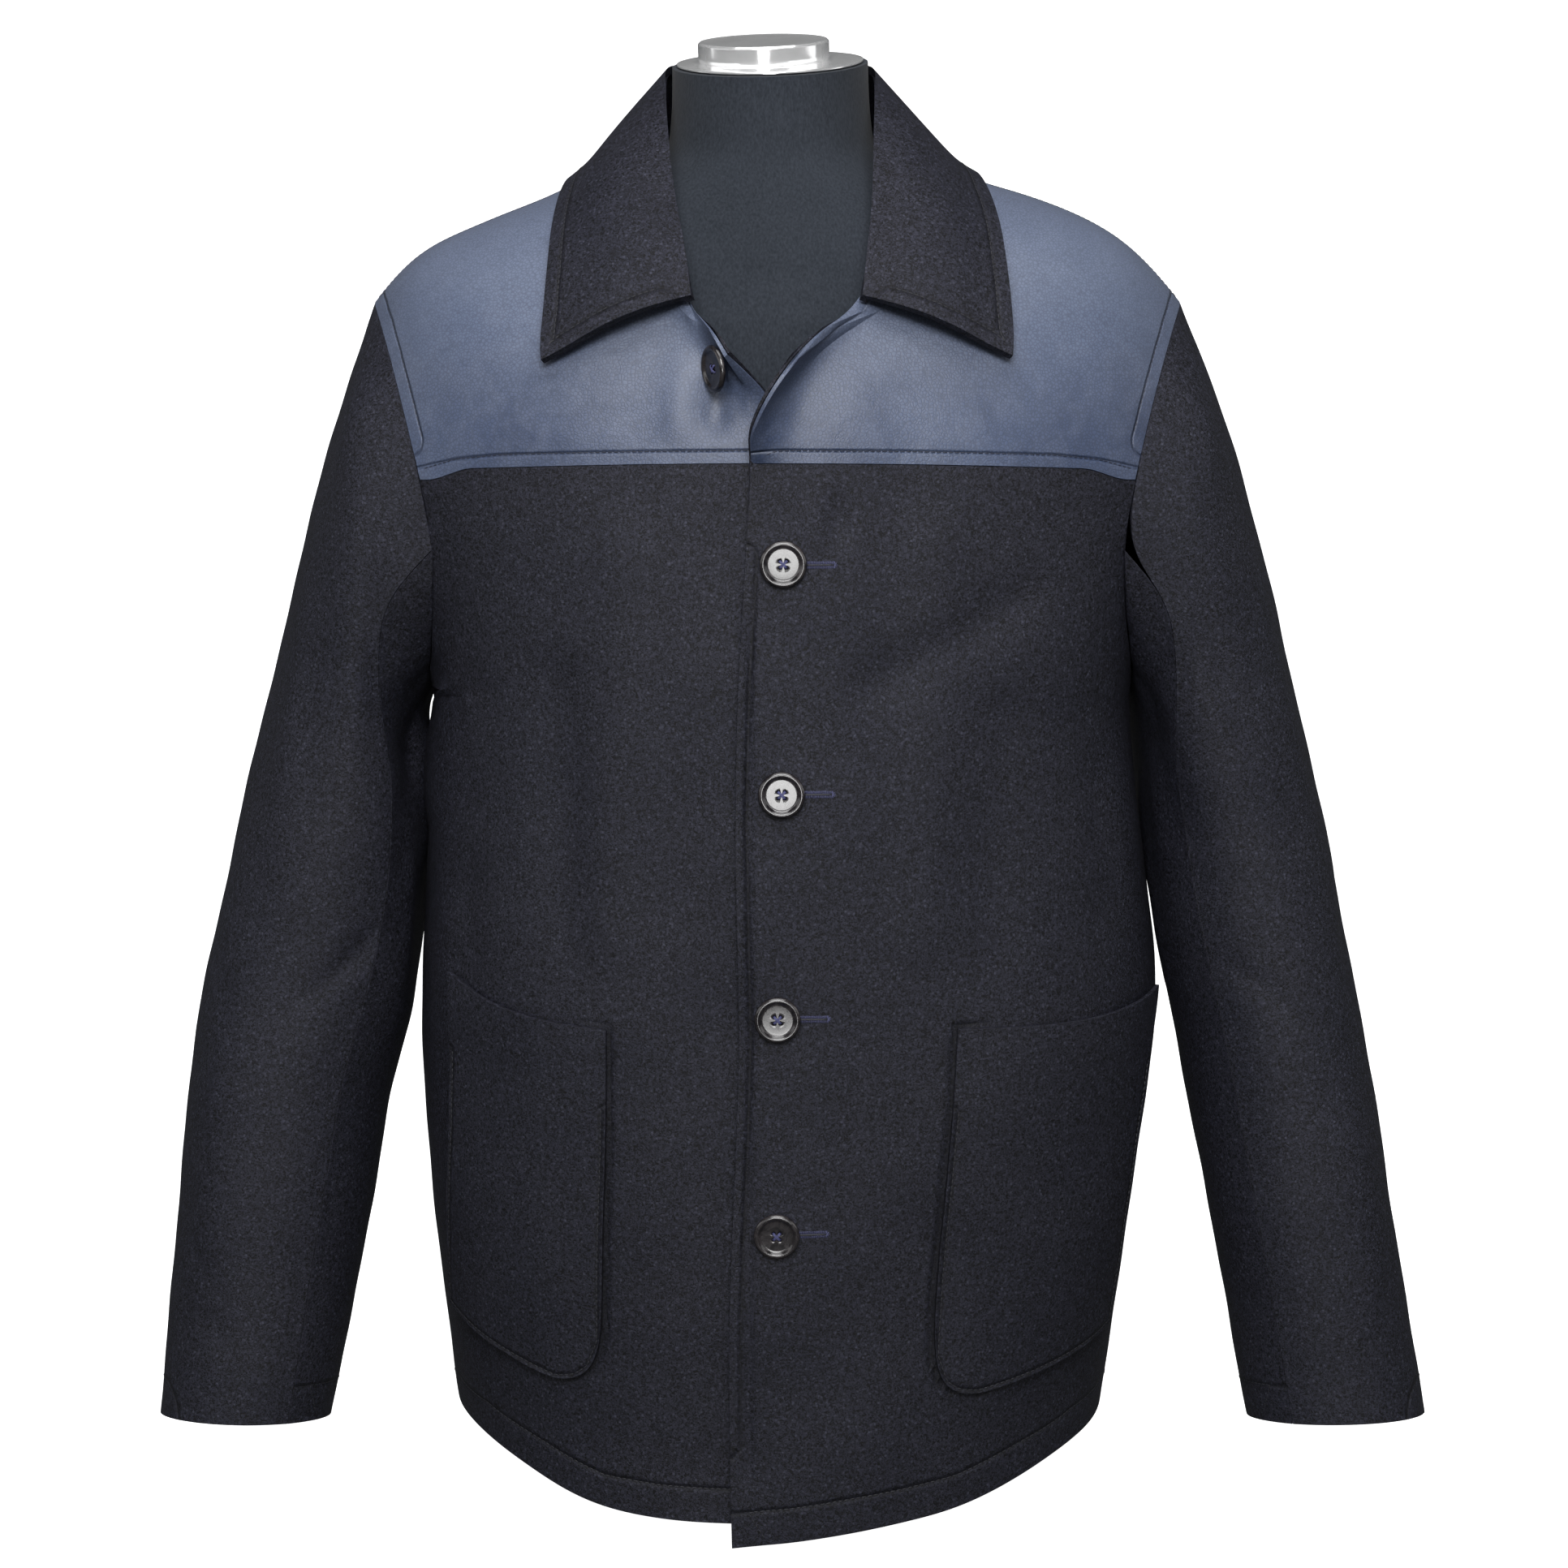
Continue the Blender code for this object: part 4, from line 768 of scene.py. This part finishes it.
def stitchedRow(tree, points, look, verts, faces):
    spots = evenly(points, look["pitch"])
    for first, second in zip(spots, spots[1:]):
        place, normal, _, _ = tree.find_nearest((first + second) / 2)
        if place is None:
            continue
        heading = (second - first).normalized()
        heading = (heading - normal * heading.dot(normal)).normalized()
        place += normal * look["height"]
        addStitch(verts, faces, place, heading, normal, look["length"], look["radius"])


def meshPiece(name, verts, faces, material):
    mesh = bpy.data.meshes.new(name)
    mesh.from_pydata([tuple(vert) for vert in verts], [], faces)
    mesh.shade_smooth()
    mesh.materials.append(material)
    piece = bpy.data.objects.new(name, mesh)
    scene.collection.objects.link(piece)
    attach(piece, "root")
    return piece


# cloth pieces, each from a merged copy of its own solid

def panelCopy(nodeName, pieceName, levels, rimAngle=rimLook["angle"]):
    mesh = nodes[nodeName].data.copy()
    mesh.transform(nodes[nodeName].matrix_world)
    piece = bpy.data.objects.new(pieceName, mesh)
    scene.collection.objects.link(piece)
    mesh.materials.clear()
    makeActive(piece)
    if mesh.has_custom_normals:
        bpy.ops.mesh.customdata_custom_splitnormals_clear()
    bpy.ops.object.mode_set(mode="EDIT")
    bpy.ops.mesh.select_mode(type="EDGE")
    bpy.ops.mesh.select_all(action="SELECT")
    bpy.ops.mesh.remove_doubles(threshold=rimLook["mergeWithin"])
    bpy.ops.mesh.mark_sharp(clear=True)
    bpy.ops.mesh.select_all(action="DESELECT")
    bpy.ops.mesh.edges_select_sharp(sharpness=math.radians(rimAngle))
    bpy.ops.mesh.mark_sharp()
    bpy.ops.mesh.select_all(action="SELECT")
    bpy.ops.mesh.tris_convert_to_quads(face_threshold=math.radians(70.0),
                                       shape_threshold=math.radians(179.0), sharp=True)
    bpy.ops.object.mode_set(mode="OBJECT")
    sharp = [edge.use_edge_sharp for edge in mesh.edges]
    crease = mesh.attributes.get("crease_edge") or mesh.attributes.new("crease_edge", "FLOAT", "EDGE")
    crease.data.foreach_set("value", [1.0 if flag else 0.0 for flag in sharp])
    applyModifier(piece, "SUBSURF", "Smooth", levels=levels, render_levels=levels)
    return piece


def roundRims(piece, width=0.0006, angle=rimLook["angle"]):
    applyModifier(piece, "BEVEL", "Rims", width=width, segments=2, limit_method="ANGLE",
                  angle_limit=math.radians(angle), harden_normals=False)
    makeActive(piece)
    bpy.ops.object.shade_smooth()


def readPoints(piece):
    points = np.empty(len(piece.data.vertices) * 3)
    piece.data.vertices.foreach_get("co", points)
    return points.reshape(-1, 3)


def writePoints(piece, points):
    piece.data.vertices.foreach_set("co", points.reshape(-1))
    piece.data.update()


# depth, and half width of the collar's outer edge there
collarSeam = ((-0.1225, 0.0440), (-0.1050, 0.0495), (-0.0710, 0.0595), (-0.0230, 0.0680), (0.0050, 0.0690),
              (0.0330, 0.0650), (0.0560, 0.0510), (0.0690, 0.0270), (0.0730, 0.0))


def onCollarEdge(point):
    reach = np.interp(point.y, [row[0] for row in collarSeam], [row[1] for row in collarSeam])
    return point.y > 0.079 or abs(point.x) > reach + 0.008


def onArmhole(point):
    return armholeTree.find(point)[2] < 0.0035


leatherThread = {"pitch": 0.0033, "length": 0.0025, "radius": 0.00026, "height": 0.00010}
woolThread = {"pitch": 0.0034, "length": 0.0024, "radius": 0.00028, "height": 0.00004}
# each row: which rim points, distance from the rim, thread; None is a pressed crease, shown by a dip and
# painted shade
yokeSeamRow = (lambda p: p.z < 0.612, 0.0068, leatherThread)
yokeArmholeRow = (lambda p: p.z > 0.612 and onArmhole(p), 0.0085, leatherThread)
shoulderRow = (lambda p: p.z > 0.70 and p.y > -0.004, 0.0040, leatherThread)
backShoulderRow = (lambda p: p.z > 0.70 and p.y < 0.004 and not onArmhole(p), 0.0040, leatherThread)
cuffRow = (lambda p: p.z < 0.058, 0.0220, woolThread)
pocketRow = (lambda p: p.z < 0.297, 0.0028, woolThread)
stitchLines = {
    "left_front_yoke": (yokeSeamRow, yokeArmholeRow, shoulderRow),
    "right_front_yoke": (yokeSeamRow, yokeArmholeRow, shoulderRow),
    "back_yoke": (yokeSeamRow, yokeArmholeRow, backShoulderRow),
    "left_front": ((lambda p: p.z < 0.0530 and p.x > -0.0255, 0.0200, woolThread),
                   (lambda p: p.x < -0.0150 and 0.030 < p.z < 0.590, 0.0062, None)),
    "right_front": ((lambda p: p.z < 0.0530 and p.x < 0.0310, 0.0200, woolThread),),
    "back": ((lambda p: p.z < 0.0520, 0.0200, woolThread),),
    "left_upper_sleeve": (cuffRow,),
    "left_under_sleeve": (cuffRow,),
    "right_upper_sleeve": (cuffRow,),
    "right_under_sleeve": (cuffRow,),
    "collar": ((onCollarEdge, 0.0085, woolThread),),
    "left_patch_pocket": (pocketRow,),
    "right_patch_pocket": (pocketRow,),
}
clothPieces = {
    # node: material, subdivision levels, flat width and length of the cut, flat area, how it is held, on what
    "back": (melton, 2, (0.56, 0.60), 0.290, "draped", ("dress_form",)),
    "left_front": (melton, 3, (0.32, 0.60), 0.166, "draped", ("dress_form",)),
    "right_front": (melton, 3, (0.32, 0.59), 0.166, "draped", ("dress_form",)),
    "left_upper_sleeve": (melton, 3, (0.34, 0.70), 0.160, "draped", ("dress_form",)),
    "right_upper_sleeve": (melton, 3, (0.34, 0.70), 0.160, "draped", ("dress_form",)),
    "left_under_sleeve": (melton, 3, (0.14, 0.54), 0.055, "draped", ("dress_form",)),
    "right_under_sleeve": (melton, 3, (0.14, 0.54), 0.055, "draped", ("dress_form",)),
    "left_facing": (facingMelton, 2, (0.09, 0.70), 0.027, "draped", ("left_front",)),
    "right_facing": (facingMelton, 2, (0.10, 0.69), 0.026, "draped", ("right_front",)),
    "collar": (melton, 3, (0.47, 0.17), 0.070, "folded", ("left_front_yoke", "right_front_yoke", "back_yoke")),
    "left_patch_pocket": (melton, 3, (0.142, 0.215), 0.028, "hung", ("left_front",)),
    "right_patch_pocket": (melton, 3, (0.118, 0.225), 0.022, "hung", ("right_front",)),
    "back_yoke": (leather, 3, (0.56, 0.23), 0.098, "draped", ("dress_form",)),
    "left_front_yoke": (leather, 3, (0.28, 0.22), 0.041, "draped", ("dress_form",)),
    "right_front_yoke": (leather, 3, (0.26, 0.22), 0.039, "draped", ("dress_form",)),
}
pocketOn = {"left_front": "left_patch_pocket", "right_front": "right_patch_pocket"}
stitchFaces = stitchShape["sides"] * (len(stitchShape["rings"]) - 1) + 2
trees = {}
stitches = {}
for nodeName, (material, levels, flat, area, held, restsOn) in clothPieces.items():
    piece = panelCopy(nodeName, nodeName + "_cloth", levels)
    roundRims(piece)
    points = readPoints(piece)
    points = points + jacketShift(points, nodeName)
    rimMarks = np.ones(len(points))
    lines = outerLines(nodeName) if nodeName in stitchLines else []
    verts, faces = [], []
    writePoints(piece, points)
    trees[nodeName] = surfaceTree(piece)
    for keep, distance, thread in stitchLines.get(nodeName, ()):
        for run in [run for line, closed in lines for run in rimRuns(line, closed, keep)]:
            runTree = pointTree(evenly([entry[0] for entry in run], rimLook["spacing"]))
            away = np.array([runTree.find(point)[2] for point in points]) - distance
            rimMarks = np.where(np.abs(away) < np.abs(rimMarks), away, rimMarks)
            if thread:
                stitchedRow(trees[nodeName], [point + inward * distance for point, inward in run], thread,
                            verts, faces)
    # painted shadow of each pocket's edge: a dark line on the front just outside the pocket's rim
    if nodeName in pocketOn:
        for line, _ in outerLines(pocketOn[nodeName]):
            edgeTree = pointTree(evenly([entry[0] for entry in line], rimLook["spacing"]))
            away = np.array([edgeTree.find(point)[2] for point in points]) - rimLook["pocketShade"]
            rimMarks = np.where(np.abs(away) < np.abs(rimMarks), away, rimMarks)
    mark = piece.data.attributes.new("stitchLine", "FLOAT", "POINT")
    mark.data.foreach_set("value", rimMarks)
    piece.data.materials.append(material)
    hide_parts(nodeName)
    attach(piece, "root")
    if verts:
        thread = navyThread if material is leather else blackThread
        stitches[nodeName] = meshPiece(nodeName + "_stitches", verts, faces, thread)
    print(nodeName, len(piece.data.polygons), "faces,", len(faces) // stitchFaces, "stitches")


# buttons turned with a dished middle, four drilled holes and crossed thread

buttonShape = {
    "radius": 0.0128, "thickness": 0.0034, "turns": 56,
    # shares of the radius and of the thickness
    "outline": ((0.0, 0.60), (0.36, 0.60), (0.62, 0.605), (0.69, 0.62), (0.72, 0.68), (0.75, 0.84),
                (0.80, 0.98), (0.85, 1.0), (0.90, 0.975), (0.95, 0.84), (0.99, 0.60), (0.985, 0.36),
                (0.93, 0.12), (0.80, 0.0), (0.0, 0.0)),
    "holeRadius": 0.00115, "holeRing": 0.0024, "holeSides": 20,
    "threadRadius": 0.00028, "strands": (-0.00042, 0.0, 0.00042),
}
buttonTilts = {
    # degrees that each fastened button leans back and turns aside on its thread
    "button_1": (0.0, 0.0), "button_2": (-4.5, 0.5), "button_3": (1.8, -0.5), "button_4": (-0.5, 1.0),
    "button_5": (-1.5, -1.0),
}


def addTube(verts, faces, path, radius, sides=6):
    base = len(verts)
    for index, point in enumerate(path):
        before, after = path[max(index - 1, 0)], path[min(index + 1, len(path) - 1)]
        heading = (after - before).normalized()
        across = heading.cross(Vector((0.0, 0.0, 1.0)))
        if across.length < 0.1:
            across = heading.cross(Vector((1.0, 0.0, 0.0)))
        across.normalize()
        rise = heading.cross(across)
        for step in range(sides):
            turn = 2.0 * math.pi * step / sides
            verts.append(point + (across * math.cos(turn) + rise * math.sin(turn)) * radius)
    joinRings(faces, base, len(path), sides)


def buttonFrame(nodeName):
    points = np.array([tuple(point) for point in worldPoints(nodeName)])
    middle = (points.max(axis=0) + points.min(axis=0)) / 2
    _, _, axes = np.linalg.svd(points - points.mean(axis=0))  # the last axis is the button's own
    facing = Vector(axes[2])
    if facing.dot(Vector((-0.2, -1.0, 0.0))) < 0.0:
        facing = -facing
    depth = (points - middle) @ np.array(facing)
    middle = Vector(middle) + facing * float(depth.max() + depth.min()) / 2
    back, aside = buttonTilts[nodeName]
    side = facing.cross(Vector((0.0, 0.0, 1.0))).normalized()
    facing = Matrix.Rotation(math.radians(back), 3, side) @ facing
    facing = Matrix.Rotation(math.radians(aside), 3, "Z") @ facing
    upright = (Vector((0.0, 0.0, 1.0)) - facing * facing.z).normalized()
    across = upright.cross(facing)
    frameMatrix = Matrix((across, upright, facing)).transposed().to_4x4()
    shift = Vector(bodyShift(np.array([tuple(middle)]))[0])
    base = middle + shift - facing * buttonShape["thickness"] / 2
    return Matrix.Translation(base) @ frameMatrix


radius, thickness = buttonShape["radius"], buttonShape["thickness"]
for index in range(1, 6):
    nodeName = f"button_{index}"
    place = buttonFrame(nodeName)
    mesh = bpy.data.meshes.new(nodeName + "_turned")
    profile = [(radius * across, 0.0, thickness * up) for across, up in buttonShape["outline"]]
    mesh.from_pydata(profile, [(i, i + 1) for i in range(len(profile) - 1)], [])
    piece = bpy.data.objects.new(nodeName + "_turned", mesh)
    scene.collection.objects.link(piece)
    applyModifier(piece, "SCREW", "Turn", steps=buttonShape["turns"], render_steps=buttonShape["turns"],
                  use_merge_vertices=True, merge_threshold=0.00002)
    deselectAll()
    cutters = []
    for quarter in range(4):
        turn = math.pi / 4 + quarter * math.pi / 2
        spot = Vector((math.cos(turn), math.sin(turn), 0.0)) * buttonShape["holeRing"]
        bpy.ops.mesh.primitive_cylinder_add(vertices=buttonShape["holeSides"], radius=buttonShape["holeRadius"],
                                            depth=thickness * 3, location=(spot.x, spot.y, thickness / 2))
        cutters.append(bpy.context.object)
    for cutter in cutters:
        applyModifier(piece, "BOOLEAN", "Hole", operation="DIFFERENCE", solver="EXACT", object=cutter)
    for cutter in cutters:
        bpy.data.objects.remove(cutter, do_unlink=True)
    applyModifier(piece, "BEVEL", "Rims", width=0.00012, segments=2, limit_method="ANGLE",
                  angle_limit=math.radians(55.0))
    mesh = piece.data
    mesh.transform(place)
    makeActive(piece)
    bpy.ops.object.shade_smooth_by_angle(angle=math.radians(38.0))
    mesh.materials.clear()
    mesh.materials.append(horn)
    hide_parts(nodeName)
    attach(piece, "root")
    verts, faces = [], []
    top = thickness * buttonShape["outline"][0][1]
    ring = buttonShape["holeRing"]
    for quarter in range(2):
        turn = math.pi / 4 + quarter * math.pi / 2
        heading = Vector((math.cos(turn), math.sin(turn), 0.0))
        aside = Vector((-heading.y, heading.x, 0.0))
        for strand in buttonShape["strands"]:
            lift = 0.00030 + 0.00042 * quarter  # the second pair crosses over the first
            path = [(-ring * 1.16, -0.0012), (-ring * 1.10, 0.0), (-ring * 0.80, lift),
                    (-ring * 0.3, lift + 0.0001), (ring * 0.3, lift + 0.0001),
                    (ring * 0.80, lift), (ring * 1.10, 0.0), (ring * 1.16, -0.0012)]
            line = [heading * run + aside * strand + Vector((0.0, 0.0, top + rise)) for run, rise in path]
            addTube(verts, faces, [place @ point for point in line], buttonShape["threadRadius"])
    meshPiece(nodeName + "_thread", verts, faces, violetThread)
print("buttons turned")


# keyhole buttonholes in the left front, worked with close stitches

hole = {
    "starts": 0.0045, "ends": 0.0270, "halfWidth": 0.00110, "pitch": 0.00080, "length": 0.0019,
    "radius": 0.00030, "height": 0.00012, "slitRadius": 0.00042, "slitHeight": 0.00035,
}


def onLeftFront(x, z):
    return trees["left_front"].ray_cast(Vector((x, -0.4, z)), Vector((0.0, 1.0, 0.0)))[:2]


for index in range(2, 6):
    nodeName = f"button_{index}"
    centre = sum(worldPoints(nodeName), Vector()) / len(nodes[nodeName].data.vertices)
    verts, faces, slitVerts, slitFaces = [], [], [], []
    count = int((hole["ends"] - hole["starts"]) / hole["pitch"])
    spots = []
    for step in range(count + 1):
        run = hole["starts"] + (hole["ends"] - hole["starts"]) * step / count
        for side in (-1, 1):
            spots.append((run, side * hole["halfWidth"], Vector((0.0, 0.0, 1.0))))
    for step in range(5):
        turn = math.radians(-72 + 36 * step)
        spots.append((hole["ends"] + hole["halfWidth"] * math.cos(turn), hole["halfWidth"] * math.sin(turn),
                      Vector((math.cos(turn), 0.0, math.sin(turn)))))
    for run, rise, heading in spots:
        hit, normal = onLeftFront(centre.x + run, centre.z + rise)
        if hit is None:
            continue
        heading = (heading - normal * heading.dot(normal)).normalized()
        addStitch(verts, faces, hit + normal * hole["height"], heading, normal, hole["length"], hole["radius"])
    slit = []
    for step in range(12):
        run = hole["starts"] + (hole["ends"] - hole["starts"]) * step / 11
        hit, normal = onLeftFront(centre.x + run, centre.z)
        slit.append(hit + normal * hole["slitHeight"])
    addTube(slitVerts, slitFaces, slit, hole["slitRadius"])
    stitches[f"hole_{index}"] = meshPiece(f"buttonhole_{index}_purl", verts, faces, purlThread)
    stitches[f"slit_{index}"] = meshPiece(f"buttonhole_{index}_slit", slitVerts, slitFaces, blackThread)
print("buttonholes worked")

for nodeName, (material, levels, flat, area, held, restsOn) in clothPieces.items():
    extras = [stitches[nodeName]] if nodeName in stitches else []
    if nodeName == "left_front":
        extras += [piece for label, piece in stitches.items() if label.startswith(("hole_", "slit_"))]

# the form's covering and the cap on its neck

formWrinkles = {
    # path of (x, z), half width, depth
    "throat": (((-0.032, 0.716), (0.0, 0.709), (0.036, 0.715)), 0.0040, -0.0010),
    "throatLow": (((-0.024, 0.690), (0.006, 0.684), (0.030, 0.689)), 0.0060, 0.0006),
}
form = panelCopy("dress_form", "dress_form_jersey", 2, 60.0)
points = readPoints(form)
for path, width, depth in formWrinkles.values():
    distance, along, length, _, _ = onPath(points[:, (0, 2)], path)
    ends = softStep(0.0, 0.012, along) * softStep(0.0, 0.012, length - along)
    points[:, 1] -= depth * np.exp(-(distance / width) ** 2) * ends * (points[:, 1] < 0.0)
writePoints(form, points)
roundRims(form, 0.0012, 55.0)
form.data.materials.append(jersey)
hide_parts("dress_form")
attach(form, "root")
cap = panelCopy("neck_cap", "neck_cap_polished", 2, 28.0)
roundRims(cap, 0.00035, 28.0)
makeActive(cap)
bpy.ops.object.shade_smooth_by_angle(angle=math.radians(35.0))
cap.data.materials.append(chrome)
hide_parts("neck_cap")
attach(cap, "root")
print("form and cap made")
